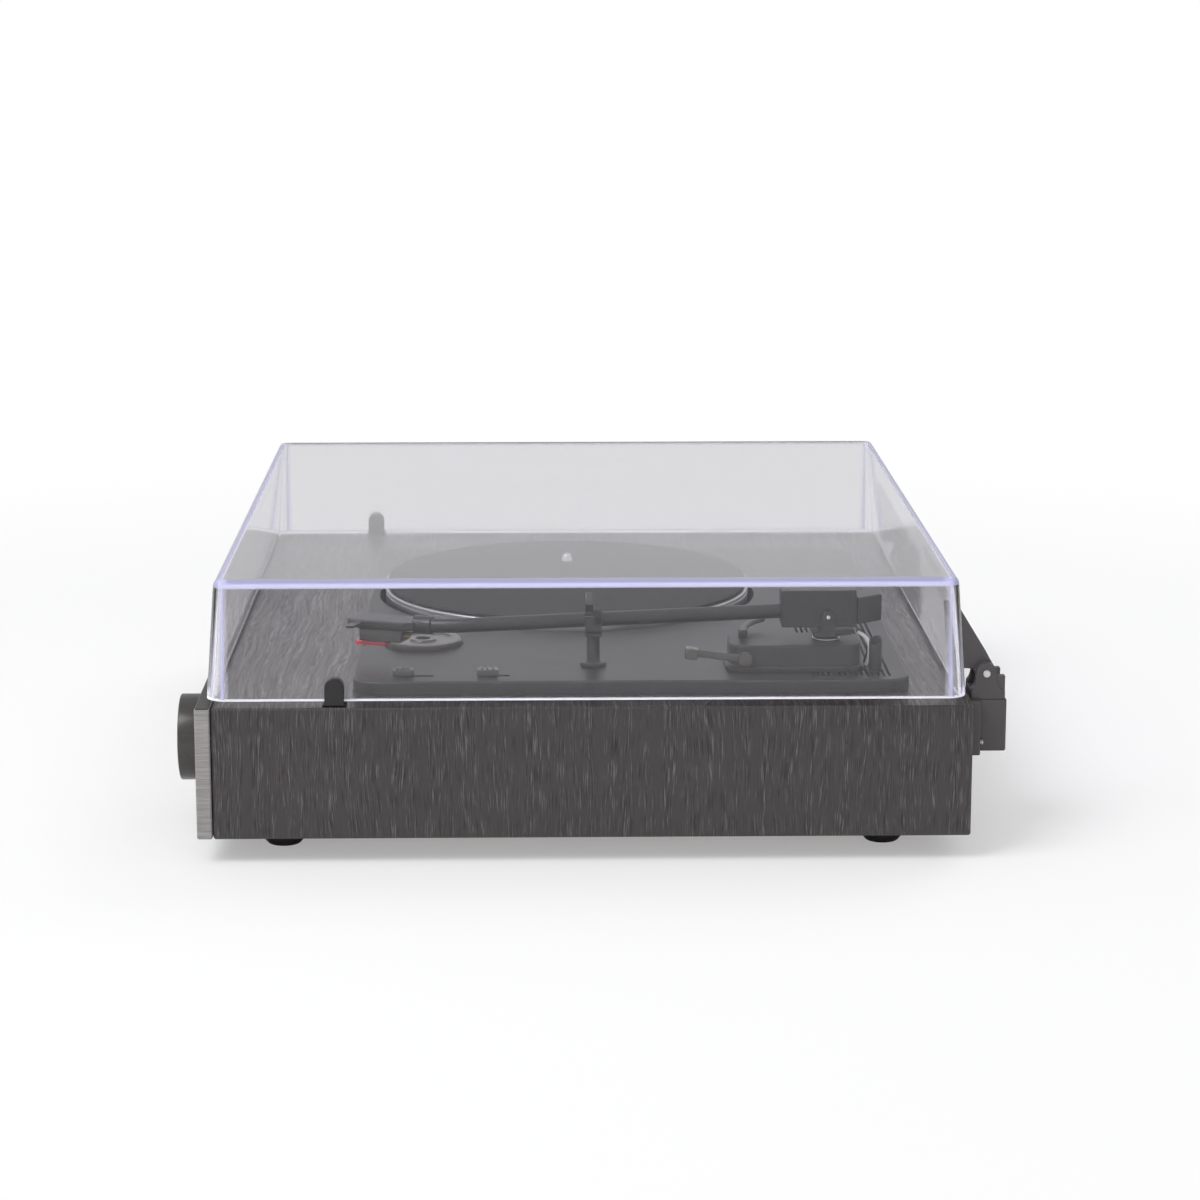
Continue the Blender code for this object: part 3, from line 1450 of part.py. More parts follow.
def make_weight(weight_z):
    """The counterweight behind the arm's body, swept to one side and set on the stub."""
    half = ARM_BODY_WIDTH / 2
    front = PIVOT_Y + ARM_BODY_BEHIND + REST_GAP
    rear = front + WEIGHT_LENGTH
    outline = [
        (PIVOT_X + half, front),
        (PIVOT_X + half - WEIGHT_SWEEP, rear),
        (PIVOT_X - half - WEIGHT_SWEEP, rear),
        (PIVOT_X - half, front),
    ]
    low, high = weight_z - WEIGHT_HEIGHT / 2, weight_z + WEIGHT_HEIGHT / 2
    weight = plate("counterweight", [outline], low, high, "arm_plastic")
    ease(weight, ARM_BODY_EDGE_RADIUS, 1)
    bore = rod(
        "weight_bore",
        (PIVOT_X, front - OVERRUN, weight_z),
        STUB_RADIUS + REST_GAP,
        STUB_LENGTH + OVERRUN,
        axis="Y",
        sides=COARSE,
    )
    cut(weight, bore)


def rest_y():
    """The arm rest's place along the arm."""
    return PIVOT_Y - REST_AHEAD_OF_PIVOT


def clip_axis():
    """Where the arm clip turns, as x and z."""
    wall_middle = PIVOT_X + TUBE_RADIUS + REST_SIDE_GAP + REST_WALL / 2
    return wall_middle, rest_wall_top() + CLIP_HUB_RADIUS + REST_GAP


def rest_wall_top():
    """The top of the arm rest's outer wall, a little above the tube's middle."""
    return tube_z(rest_y()) + TUBE_RADIUS - CLIP_HUB_RADIUS + CLIP_THICKNESS / 2 + REST_WALL_ABOVE_TUBE


def make_rest():
    """The arm rest, open towards the record, and the clip that closes over the tube."""
    y, z = rest_y(), tube_z(rest_y())
    half = REST_THICKNESS_Y / 2
    sag = half * TUBE_DROP / PIVOT_TO_HEADSHELL
    floor_z = z - TUBE_RADIUS - sag - REST_GAP
    wall_in = PIVOT_X + TUBE_RADIUS + REST_SIDE_GAP
    rest = block(
        "arm_rest",
        (PIVOT_X - TUBE_RADIUS, y - half, floor_z - REST_FLOOR),
        (wall_in + REST_WALL, y + half, floor_z),
        "deck_plastic",
    )
    wall = block(
        "rest_wall",
        (wall_in, y - half, floor_z - REST_FLOOR / 2),
        (wall_in + REST_WALL, y + half, rest_wall_top()),
    )
    foot_low = DECK_Z + REST_GAP
    stem = turned(
        "rest_stem",
        (
            (0, floor_z - REST_FLOOR / 2),
            (REST_STEM_RADIUS, floor_z - REST_FLOOR / 2),
            (REST_STEM_RADIUS, foot_low + REST_FOOT_HEIGHT),
            (REST_FOOT_RADIUS, foot_low + REST_FOOT_HEIGHT),
            (REST_FOOT_RADIUS, foot_low),
            (0, foot_low),
        ),
        (PIVOT_X, y, 0),
        sides=COARSE,
    )
    axis_x, axis_z = clip_axis()
    ear_top = arc((axis_x, axis_z), REST_WALL / 2, 0, math.pi, 7)
    ear_foot = [(axis_x - REST_WALL / 2, z), (axis_x + REST_WALL / 2, z)]
    ear = plate("rest_ear", [ear_top + ear_foot], y + REST_GAP, y + half, plane="Y")
    pin = rod(
        "rest_pin",
        (axis_x, y - half, axis_z),
        CLIP_PIN_RADIUS,
        half + REST_GAP * 2,
        axis="Y",
        sides=COARSE,
    )
    join(rest, wall, stem, ear, pin)
    make_clip(axis_x, y, axis_z, half)


def make_clip(axis_x, y, axis_z, half):
    """The arm clip on the rest's pin, folded back so that the arm is free."""
    fold = bpy.data.objects.new("clip_axis", None)
    bpy.data.collections["turntable"].objects.link(fold)
    fold.location = (axis_x, y, axis_z)
    fold.rotation_euler = (0, math.radians(CLIP_OPEN_DEG), 0)
    hub_length = half - REST_GAP
    hub = rod(
        "arm_clip",
        (0, -half, 0),
        CLIP_HUB_RADIUS,
        hub_length,
        "satin_black",
        axis="Y",
        sides=COARSE,
    )
    lip_in = -(axis_x - PIVOT_X + TUBE_RADIUS + CLIP_SIDE_GAP)
    low = CLIP_THICKNESS / 2
    strap = block(
        "clip_strap",
        (lip_in - CLIP_LIP_THICKNESS, -half, -low),
        (-CLIP_PIN_RADIUS - REST_GAP, -half + hub_length, low),
    )
    lip = block(
        "clip_lip",
        (lip_in - CLIP_LIP_THICKNESS, -half, -low - CLIP_LIP_DROP),
        (lip_in, -half + hub_length, 0),
    )
    bore = rod(
        "clip_bore",
        (0, -half - OVERRUN, 0),
        CLIP_PIN_RADIUS + REST_GAP,
        hub_length + OVERRUN * 2,
        axis="Y",
        sides=COARSE,
    )
    join(hub, strap, lip)
    cut(hub, bore)
    for thing in (hub, strap, lip, bore):
        thing.parent = fold


def make_cueing():
    """The curved bar that lifts the arm, and the lever that raises it."""
    bar_y = PIVOT_Y - LIFT_ARC_RADIUS
    top = tube_z(bar_y - LIFT_BAR_WIDTH) - TUBE_RADIUS - REST_GAP * 2 - LIFT_TRAVEL
    low = top - LIFT_BAR_HEIGHT
    start = math.radians(270 - LIFT_ARC_DEG - LIFT_ARC_START_DEG)
    end = math.radians(270 - LIFT_ARC_START_DEG)
    centre = (PIVOT_X, PIVOT_Y)
    steps = 13
    outline = arc(centre, LIFT_ARC_RADIUS + LIFT_BAR_WIDTH / 2, start, end, steps)
    outline += arc(centre, LIFT_ARC_RADIUS - LIFT_BAR_WIDTH / 2, end, start, steps)
    bar = plate("cue_lift", [outline], low, top, "arm_plastic")
    stem_low = BASE_PLATFORM_Z - LIFT_STEM_DEPTH
    stem = rod(
        "lift_stem",
        (*lift_stem_place(), stem_low),
        LIFT_STEM_RADIUS,
        low + LIFT_BAR_HEIGHT / 2 - stem_low,
        sides=COARSE,
    )
    join(bar, stem)
    turn = bpy.data.objects.new("lever_axis", None)
    bpy.data.collections["turntable"].objects.link(turn)
    side = PIVOT_X + BASE_WIDTH / 2 + BASE_FOOT_FLARE + REST_GAP
    turn.location = (side, *lever_axis())
    turn.rotation_euler = (-math.radians(LEVER_REST_DEG), 0, 0)
    lever = rod(
        "cue_lever",
        (0, 0, 0),
        LEVER_HUB_RADIUS,
        LEVER_HUB_THICKNESS,
        "satin_black",
        axis="X",
        sides=COARSE,
    )
    axle = rod(
        "lever_axle",
        (-BASE_FOOT_FLARE - REST_GAP - LEVER_AXLE_DEPTH, 0, 0),
        LEVER_AXLE_RADIUS,
        LEVER_AXLE_DEPTH + BASE_FOOT_FLARE + REST_GAP + LEVER_HUB_THICKNESS / 2,
        axis="X",
        sides=COARSE,
    )
    half = LEVER_WIDTH / 2
    thick = LEVER_HUB_THICKNESS
    bar_low = thick / 4
    strip = block("lever_strip", (bar_low, -LEVER_LENGTH, -half), (thick - bar_low, 0, half))
    grip = block(
        "lever_grip",
        (0, -LEVER_LENGTH - LEVER_TIP_LENGTH / 2, -LEVER_WIDTH / 2 - bar_low),
        (LEVER_TIP_WIDTH, -LEVER_LENGTH + LEVER_TIP_LENGTH / 2, LEVER_WIDTH / 2 + bar_low),
    )
    join(lever, axle, strip, grip)
    for thing in (lever, axle, strip, grip):
        thing.parent = turn


def make_deck_trim():
    """The slant-topped hollow post and the leads that dive into the deck behind the arm."""
    x = PIVOT_X + HOLLOW_POST_FROM_PIVOT_X
    y = PIVOT_Y + HOLLOW_POST_FROM_PIVOT_Y
    low = DECK_Z + REST_GAP
    post = rod("hollow_post", (x, y, low), HOLLOW_POST_RADIUS, HOLLOW_POST_HEIGHT, "deck_plastic")
    bore = rod(
        "post_bore",
        (x, y, low + HOLLOW_POST_HEIGHT / 4),
        HOLLOW_POST_RADIUS - HOLLOW_POST_WALL,
        HOLLOW_POST_HEIGHT,
        sides=COARSE,
    )
    slant = block(
        "post_slant",
        (-HOLLOW_POST_HEIGHT, -HOLLOW_POST_HEIGHT, 0),
        (HOLLOW_POST_HEIGHT, HOLLOW_POST_HEIGHT, HOLLOW_POST_HEIGHT),
    )
    slant.location = (x, y, low + HOLLOW_POST_HEIGHT - HOLLOW_POST_SLANT / 2)
    tilt = math.atan2(HOLLOW_POST_SLANT, HOLLOW_POST_RADIUS * 2)
    slant.rotation_euler = (0, tilt, -math.pi / 8)
    middle = Vector((0, 0, HOLLOW_POST_HEIGHT / 2))
    middle.rotate(slant.rotation_euler)
    slant.location += middle
    cut(post, bore, slant)
    base_rear = PIVOT_Y + BASE_BEHIND_PIVOT + BASE_FOOT_FLARE
    slots = ("arm_plastic", "arm_plastic", "white_lead")
    for n, (name, slot) in enumerate(zip(("lead_left", "lead_middle", "lead_right"), slots)):
        side = PIVOT_X + (n - 1) * LEAD_SPACING
        clear = base_rear + REST_GAP + LEAD_RADIUS
        top = BASE_PLATFORM_Z + LEAD_TOP_RISE
        front = Vector((side, PIVOT_Y + BASE_BEHIND_PIVOT - LEAD_FRONT, top))
        crest = Vector((side, clear + LEAD_BACK, top - LEAD_TOP_RISE))
        foot = Vector((side, clear, low))
        points = []
        steps = 10
        for step in range(steps + 1):
            share = step / steps
            reach = front.lerp(crest, share)
            fall = crest.lerp(foot, share)
            points.append(reach.lerp(fall, share))
        tube(name, points, LEAD_RADIUS, slot, 1)


def make_cover():
    """The clear dust cover, an open shell that widens towards its rim."""
    low = Vector((-SIDE_X + COVER_SIDE_INSET, FRONT_Y + COVER_FRONT_INSET, COVER_RIM_Z))
    high = Vector((SIDE_X - COVER_SIDE_INSET, REAR_Y - COVER_REAR_INSET, COVER_TOP_Z))
    middle = (low + high) / 2
    shape = bmesh.new()
    bmesh.ops.create_cube(shape, size=1)
    bmesh.ops.scale(shape, vec=high - low, verts=shape.verts)
    bmesh.ops.translate(shape, vec=middle, verts=shape.verts)
    for corner in shape.verts:
        if corner.co.z > middle.z:
            corner.co.x -= math.copysign(COVER_DRAFT, corner.co.x - middle.x)
            corner.co.y -= math.copysign(COVER_DRAFT, corner.co.y - middle.y)
    upright = [e for e in shape.edges if abs(e.verts[0].co.z - e.verts[1].co.z) > COVER_EDGE_RADIUS]
    bmesh.ops.bevel(
        shape, geom=upright, offset=COVER_CORNER_RADIUS, segments=5, profile=0.5, affect="EDGES"
    )
    top = [e for e in shape.edges if all(v.co.z > COVER_TOP_Z - REST_GAP for v in e.verts)]
    bmesh.ops.bevel(
        shape, geom=top, offset=COVER_EDGE_RADIUS, segments=3, profile=0.5, affect="EDGES"
    )
    under = [f for f in shape.faces if all(v.co.z < COVER_RIM_Z + REST_GAP for v in f.verts)]
    bmesh.ops.delete(shape, geom=under, context="FACES")
    cover = mesh_object("dust_cover", shape, "clear_acrylic")
    smooth(cover.data)
    shell = cover.modifiers.new("Wall", "SOLIDIFY")
    shell.thickness = COVER_WALL
    shell.offset = -1
    shell.use_even_offset = True
    make_bumpers()


def wall_lean():
    """How far the cover's walls lean in for each metre of height."""
    return COVER_DRAFT / (COVER_TOP_Z - COVER_RIM_Z)


def make_bumpers():
    """The two rubber clips on the cover's side rims that meet the plinth's top."""
    y = FRONT_Y + BUMPER_FROM_FRONT
    half = BUMPER_WIDTH / 2
    low = PLINTH_TOP_Z + REST_GAP
    shoulder = low + BUMPER_HEIGHT - half
    lean = wall_lean()
    outer = SIDE_X - COVER_SIDE_INSET
    for name, side in (("cover_bumper_left", -1), ("cover_bumper_right", 1)):
        arch = [(y + half, low)]
        arch += arc((y, shoulder), half, 0, math.pi, 13)
        arch += [(y - half, low)]
        inside = outer - COVER_WALL - REST_GAP - BUMPER_SKIN
        outside = outer + REST_GAP + BUMPER_SKIN
        span = (inside - lean * BUMPER_HEIGHT, outside)
        left, right = sorted(side * reach for reach in span)
        bumper = plate(name, [arch], left, right, "rubber", plane="X")
        flare = BUMPER_FLARE
        foot = [
            (y + half + flare, low),
            (y + half, low + BUMPER_FOOT_HEIGHT),
            (y - half, low + BUMPER_FOOT_HEIGHT),
            (y - half - flare, low),
        ]
        join(bumper, plate("bumper_foot", [foot], left, right, plane="X"))
        slot_low = COVER_RIM_Z - REST_GAP
        slot = block(
            "rim_slot",
            (-COVER_WALL / 2 - REST_GAP, -BUMPER_HEIGHT, 0),
            (COVER_WALL / 2 + REST_GAP, BUMPER_HEIGHT, BUMPER_HEIGHT * 2),
        )
        lift = Vector((0, 0, BUMPER_HEIGHT))
        slot.rotation_euler = (0, -side * math.atan(lean), 0)
        lift.rotate(slot.rotation_euler)
        rim_middle = Vector((side * (outer - COVER_WALL / 2), y, slot_low))
        slot.location = rim_middle + lift
        cut(bumper, slot)


def hinge_centre_x():
    """Distance of each hinge from the middle plane."""
    return SIDE_X - HINGE_INSET_X - HINGE_WIDTH / 2


def hinge_screw_x(side):
    """Where the screw stands on the flange's outer lip, beside the housing."""
    return side * (hinge_centre_x() + HINGE_WIDTH / 2 - HINGE_BLOCK_INSET / 2)


def hinge_screw_z():
    """Height of the screw that holds a hinge's socket."""
    return HINGE_TOP_Z - HINGE_HEIGHT + HINGE_SCREW_RISE


def make_hinges():
    """Socket, pin, cover leaf and screw of the two cover hinges."""
    for word, side in (("left", -1), ("right", 1)):
        x = side * hinge_centre_x()
        make_hinge_socket("hinge_socket_" + word, x, side)
        make_hinge_leaf("hinge_leaf_" + word, x)
        half = HINGE_WIDTH / 2 - HINGE_BLOCK_INSET
        rod(
            "hinge_pin_" + word,
            (x - half, HINGE_Y, HINGE_Z),
            HINGE_PIN_RADIUS,
            half * 2,
            "zinc_steel",
            axis="X",
            sides=COARSE,
        )
        head = HINGE_FLANGE + REST_GAP * 2
        turned(
            "hinge_screw_" + word,
            (
                (0, head + HINGE_SCREW_HEAD),
                (HINGE_SCREW_RADIUS / 2, head + HINGE_SCREW_HEAD),
                (HINGE_SCREW_RADIUS, head),
                (HINGE_SCREW_SHANK, head),
                (HINGE_SCREW_SHANK, head - HINGE_SCREW_DEPTH + REST_GAP),
                (0, head - HINGE_SCREW_DEPTH + REST_GAP),
            ),
            (hinge_screw_x(side), REAR_Y, hinge_screw_z()),
            "zinc_steel",
            axis="Y",
            sides=COARSE,
        )


def make_hinge_socket(name, x, side):
    """The socket on the plinth's rear: its flange, its housing and the two ears for the pin."""
    half = HINGE_WIDTH / 2
    low = HINGE_TOP_Z - HINGE_HEIGHT
    socket = block(
        name,
        (x - half, REAR_Y + REST_GAP, low),
        (x + half, REAR_Y + REST_GAP + HINGE_FLANGE, HINGE_TOP_Z),
        "hinge_plastic",
    )
    inner = half - HINGE_BLOCK_INSET
    root = REAR_Y + HINGE_FLANGE / 2
    under = low + HINGE_STEP
    shelf = HINGE_TOP_Z - HINGE_STEP
    reach = HINGE_KNUCKLE_RADIUS
    outline = [(REAR_Y + HINGE_STANDOFF, shelf), (HINGE_Y + reach, shelf)]
    outline += arc((HINGE_Y, HINGE_Z), reach, 0, math.pi, 11)
    outline += [(HINGE_Y - reach, shelf), (root, shelf), (root, under)]
    outline += [(REAR_Y + HINGE_STANDOFF, under)]
    join(socket, plate("housing", [outline], x - inner, x + inner, plane="X"))
    room = block(
        "knuckle_room",
        (x - inner + HINGE_EAR, HINGE_Y - reach - OVERRUN, HINGE_TOP_Z + HINGE_SADDLE_HEIGHT),
        (x + inner - HINGE_EAR, HINGE_Y + reach + OVERRUN, HINGE_Z + reach + OVERRUN),
    )
    bore = rod(
        "socket_bore",
        (x - inner - OVERRUN, HINGE_Y, HINGE_Z),
        HINGE_PIN_RADIUS + REST_GAP,
        (inner + OVERRUN) * 2,
        axis="X",
        sides=COARSE,
    )
    screw = rod(
        "socket_screw_hole",
        (hinge_screw_x(side), REAR_Y - OVERRUN, hinge_screw_z()),
        HINGE_SCREW_SHANK + REST_GAP,
        HINGE_FLANGE + OVERRUN * 2,
        axis="Y",
        sides=COARSE,
    )
    cut(socket, room, bore, screw)


def make_hinge_leaf(name, x):
    """The leaf on the cover's rear wall, a wedge that ends in the knuckle."""
    half = HINGE_WIDTH / 2 - HINGE_BLOCK_INSET - HINGE_EAR - REST_GAP
    lean = wall_lean()
    wall_y = REAR_Y - COVER_REAR_INSET + REST_GAP
    high = PLINTH_TOP_Z + HINGE_LEAF_TOP_RISE
    low = PLINTH_TOP_Z + HINGE_LEAF_BOTTOM_RISE
    top_y = wall_y - lean * (high - COVER_RIM_Z)
    low_y = wall_y - lean * (low - COVER_RIM_Z)
    knuckle = HINGE_KNUCKLE_RADIUS
    outline = [
        (low_y, low),
        *((HINGE_Y + knuckle * u, HINGE_Z + knuckle * v) for u, v in KNUCKLE_CHEEK_SHARES),
        (top_y + HINGE_LEAF_PLATE, high),
        (top_y, high),
    ]
    leaf = plate(name, [outline], x - half, x + half, "hinge_plastic", plane="X")
    barrel = rod(
        "knuckle", (x - half, HINGE_Y, HINGE_Z), knuckle, half * 2, axis="X"
    )
    join(leaf, barrel)
    bore = rod(
        "leaf_bore",
        (x - half - OVERRUN, HINGE_Y, HINGE_Z),
        HINGE_PIN_RADIUS + REST_GAP,
        (half + OVERRUN) * 2,
        axis="X",
        sides=COARSE,
    )
    cut(leaf, bore)


def main():
    """Build the turntable."""
    clear_scene()
    make_plinth()
    make_base()
    make_front_panel()
    make_volume_control()
    make_terminals()
    make_amplifier()
    make_deck()
    make_switches()
    make_adapter()
    make_platter()
    make_drive()
    make_arm_base()
    make_yoke()
    make_arm()
    make_rest()
    make_cueing()
    make_deck_trim()
    make_cover()
    make_hinges()


main()
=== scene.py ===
import json
import logging
import math
from dataclasses import dataclass
from enum import Enum
from functools import cache

import bmesh
import bpy
import numpy as np
from mathutils import Matrix, Vector
from mathutils.geometry import delaunay_2d_cdt


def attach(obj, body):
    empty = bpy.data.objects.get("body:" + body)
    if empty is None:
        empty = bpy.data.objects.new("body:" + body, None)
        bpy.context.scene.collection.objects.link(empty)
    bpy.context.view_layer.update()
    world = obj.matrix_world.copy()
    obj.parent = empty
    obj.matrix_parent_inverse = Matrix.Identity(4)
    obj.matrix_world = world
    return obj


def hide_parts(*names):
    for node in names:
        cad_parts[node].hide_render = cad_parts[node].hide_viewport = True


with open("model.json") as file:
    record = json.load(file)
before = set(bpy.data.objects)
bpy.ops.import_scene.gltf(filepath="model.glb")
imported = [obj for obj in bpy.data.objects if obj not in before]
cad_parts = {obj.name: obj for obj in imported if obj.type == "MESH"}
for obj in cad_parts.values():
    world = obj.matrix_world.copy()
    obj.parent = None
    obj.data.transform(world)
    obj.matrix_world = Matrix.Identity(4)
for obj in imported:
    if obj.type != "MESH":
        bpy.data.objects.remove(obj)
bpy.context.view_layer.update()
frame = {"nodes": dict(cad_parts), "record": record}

# Looks of a belt-driven turntable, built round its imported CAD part.
# Sizes in the classes are millimetres in the model's frame: +X is the arm's side, -Y the front,
# +Z up. The function piece() turns them into metres when it fills a mesh.

MM = 0.001
COLLAR = 0.3  # a narrow flat ring that keeps a flat face flat beside a rounded edge
SIDES = (("left", -1), ("right", 1))
ARM_X = 154.0  # the tonearm's pivot, its rest and its platform stand in one line
Array = np.ndarray
Radii = float | list | Array
Tree = bpy.types.NodeTree
Socket = bpy.types.NodeSocket
LOG = logging.getLogger("turntable")


def linear(colour: str) -> tuple[float, float, float, float]:
    """Turns an sRGB colour into the linear values that Blender's sockets take.

    Args:
        colour: six hex digits.

    Returns:
        Red, green, blue and a full alpha.
    """
    share = np.array([int(colour[n : n + 2], 16) for n in (0, 2, 4)]) / 255
    light = np.where(share <= 0.04045, share / 12.92, ((share + 0.055) / 1.055) ** 2.4)
    return (*light.tolist(), 1.0)


def empty_tree(owner: bpy.types.ID) -> Tree:
    """Gives a material or world an empty node tree."""
    owner.use_nodes = True
    owner.node_tree.nodes.clear()
    return owner.node_tree


def add_node(
    tree: Tree,
    kind: str,
    inputs: dict | None = None,
    out: int | str = 0,
    stops: tuple = (),
    **settings: object,
) -> Socket | None:
    """Adds a node, sets it up and links it.

    Args:
        tree: the node tree that gets the node.
        kind: the node's Blender type, less the word ShaderNode.
        inputs: socket name or number to a value, or to the output that feeds it.
        out: the output that is wanted.
        stops: a colour ramp's (place, hex colour) pairs.
        settings: the node's own properties.

    Returns:
        That output, or nothing where the node has none.
    """
    node = tree.nodes.new("ShaderNode" + kind)
    for name, value in settings.items():
        setattr(node, name, value)
    for n, (place, colour) in enumerate(stops):
        elements = node.color_ramp.elements
        stop = elements[n] if n < len(elements) else elements.new(place)
        stop.position, stop.color = place, linear(colour)
    for key, value in (inputs or {}).items():
        if isinstance(value, Socket):
            tree.links.new(value, node.inputs[key])
        else:
            node.inputs[key].default_value = value
    return node.outputs[out] if node.outputs else None


def straight_rays(tree: Tree) -> tuple:
    """The kinds of ray, and 1 for those that come from the camera straight or through the cover."""
    ray = add_node(tree, "LightPath").node.outputs
    wanted = {0: ray["Is Camera Ray"], 1: ray["Is Transmission Ray"]}
    return ray, add_node(tree, "Math", wanted, operation="MAXIMUM")


# Finishes


@dataclass(frozen=True)
class Finish:
    """A surface finish: the name of its material and the record's slot that it belongs to."""

    name: str
    slot: str

    def shader(self, tree: Tree) -> dict[str, Socket]:
        """Builds the nodes, each kind of finish its own, and hands back the output's inputs."""
        raise NotImplementedError

    def place(self, tree: Tree, scale: tuple) -> Socket:
        """Object coordinates in cells of a pattern.

        Args:
            tree: the material's nodes.
            scale: the cell's size along X, Y and Z in millimetres.

        Returns:
            The scaled coordinates.
        """
        spot = add_node(tree, "TexCoord", out="Object")
        cells = tuple(1 / (size * MM) for size in scale)
        return add_node(tree, "Mapping", {"Vector": spot, "Scale": cells})

    def noise(self, tree: Tree, where: Socket, detail: float = 3.0) -> Socket:
        """Soft noise between 0 and 1 over scaled coordinates."""
        wanted = {"Vector": where, "Scale": 1.0, "Detail": detail, "Roughness": 0.6}
        return add_node(tree, "TexNoise", wanted)

    def relief(self, tree: Tree, height: Socket, depth: float, strength: float) -> Socket:
        """A bump of some millimetres' depth from a height between 0 and 1."""
        wanted = {"Height": height, "Distance": depth * MM, "Strength": strength}
        return add_node(tree, "Bump", wanted)


@dataclass(frozen=True)
class TwoTone(Finish):
    """Two close tones over a pattern that also breaks the gloss and stands up by a hair."""

    dark: str = "303030"
    light: str = "383838"
    roughness: float = 0.5

    def tone(self, tree: Tree, pattern: Socket) -> Socket:
        """The two tones over the pattern."""
        stops = ((0.3, self.dark), (0.7, self.light))
        return add_node(tree, "ValToRGB", {"Fac": pattern}, stops=stops)

    def surface(
        self, tree: Tree, pattern: Socket, colour: Socket, swing: float, bump: tuple, more: dict
    ) -> dict[str, Socket]:
        """A surface whose gloss and relief follow a pattern.

        Args:
            tree: the material's nodes.
            pattern: a value between 0 and 1.
            colour: the surface's colour.
            swing: how far the roughness moves to either side.
            bump: the relief's depth in millimetres and its strength.
            more: further inputs of the surface.

        Returns:
            The material output's inputs.
        """
        gloss = self.roughness
        if swing:
            ends = {"To Min": max(gloss - swing, 0.04), "To Max": gloss + swing}
            gloss = add_node(tree, "MapRange", {"Value": pattern, **ends})
        normal = self.relief(tree, pattern, *bump)
        wanted = {"Base Color": colour, "Roughness": gloss, "Normal": normal, **more}
        return {"Surface": add_node(tree, "BsdfPrincipled", wanted)}


@dataclass(frozen=True)
class Moulded(TwoTone):
    """Plastic, rubber or enamel with a fine grain."""

    grain: float = 0.5
    depth: float = 0.02
    coat: float = 0.0
    shine: float = 0.5

    def shader(self, tree: Tree) -> dict[str, Socket]:
        """Grain is noise in cells as long as they are wide."""
        grain = self.noise(tree, self.place(tree, (self.grain,) * 3))
        more = {"Specular IOR Level": self.shine, "Coat Weight": self.coat}
        return self.surface(tree, grain, self.tone(tree, grain), 0.05, (self.depth, 0.5), more)


@dataclass(frozen=True)
class Streaked(TwoTone):
    """Brushed or drawn stock: long streaks along one direction."""

    cell: tuple = (40.0, 6.0, 0.35)
    metallic: float = 1.0
    depth: float = 0.01
    top: str = ""

    def shader(self, tree: Tree) -> dict[str, Socket]:
        """Streaks are noise in cells much longer one way than the others.

        Where a top colour is named, faces that look up take it, as the laminate ends there.
        """
        streak = self.noise(tree, self.place(tree, self.cell), 4.0)
        colour = self.tone(tree, streak)
        if self.top:
            spot = add_node(tree, "TexCoord", out="Normal")
            rise = add_node(tree, "SeparateXYZ", {0: spot}, "Z")
            up = add_node(tree, "Math", {0: rise, 1: 0.6}, operation="GREATER_THAN")
            wanted = {0: up, 6: colour, 7: linear(self.top)}
            colour = add_node(tree, "Mix", wanted, 2, data_type="RGBA")
        more = {"Metallic": self.metallic}
        return self.surface(tree, streak, colour, 0.06, (self.depth, 0.6), more)


@dataclass(frozen=True)
class Lathed(TwoTone):
    """Turned metal: fine rings round an upright axis."""

    centre: tuple = (0.0, 0.0, 0.0)
    pitch: float = 0.7

    def shader(self, tree: Tree) -> dict[str, Socket]:
        """Rings are noise over the distance from the axis, so that they run round it."""
        axis = tuple(c * MM for c in self.centre)
        spot = add_node(tree, "TexCoord", out="Object")
        away = add_node(tree, "VectorMath", {0: spot, 1: axis}, operation="SUBTRACT")
        flat = add_node(tree, "VectorMath", {0: away, 1: (1.0, 1.0, 0.0)}, operation="MULTIPLY")
        radius = add_node(tree, "VectorMath", {0: flat}, "Value", operation="LENGTH")
        wanted = {"W": radius, "Scale": 1 / (self.pitch * MM), "Detail": 3.0}
        rings = add_node(tree, "TexNoise", wanted, noise_dimensions="1D")
        colour = self.tone(tree, rings)
        return self.surface(tree, rings, colour, 0.0, (0.01, 0.5), {"Metallic": 1.0})


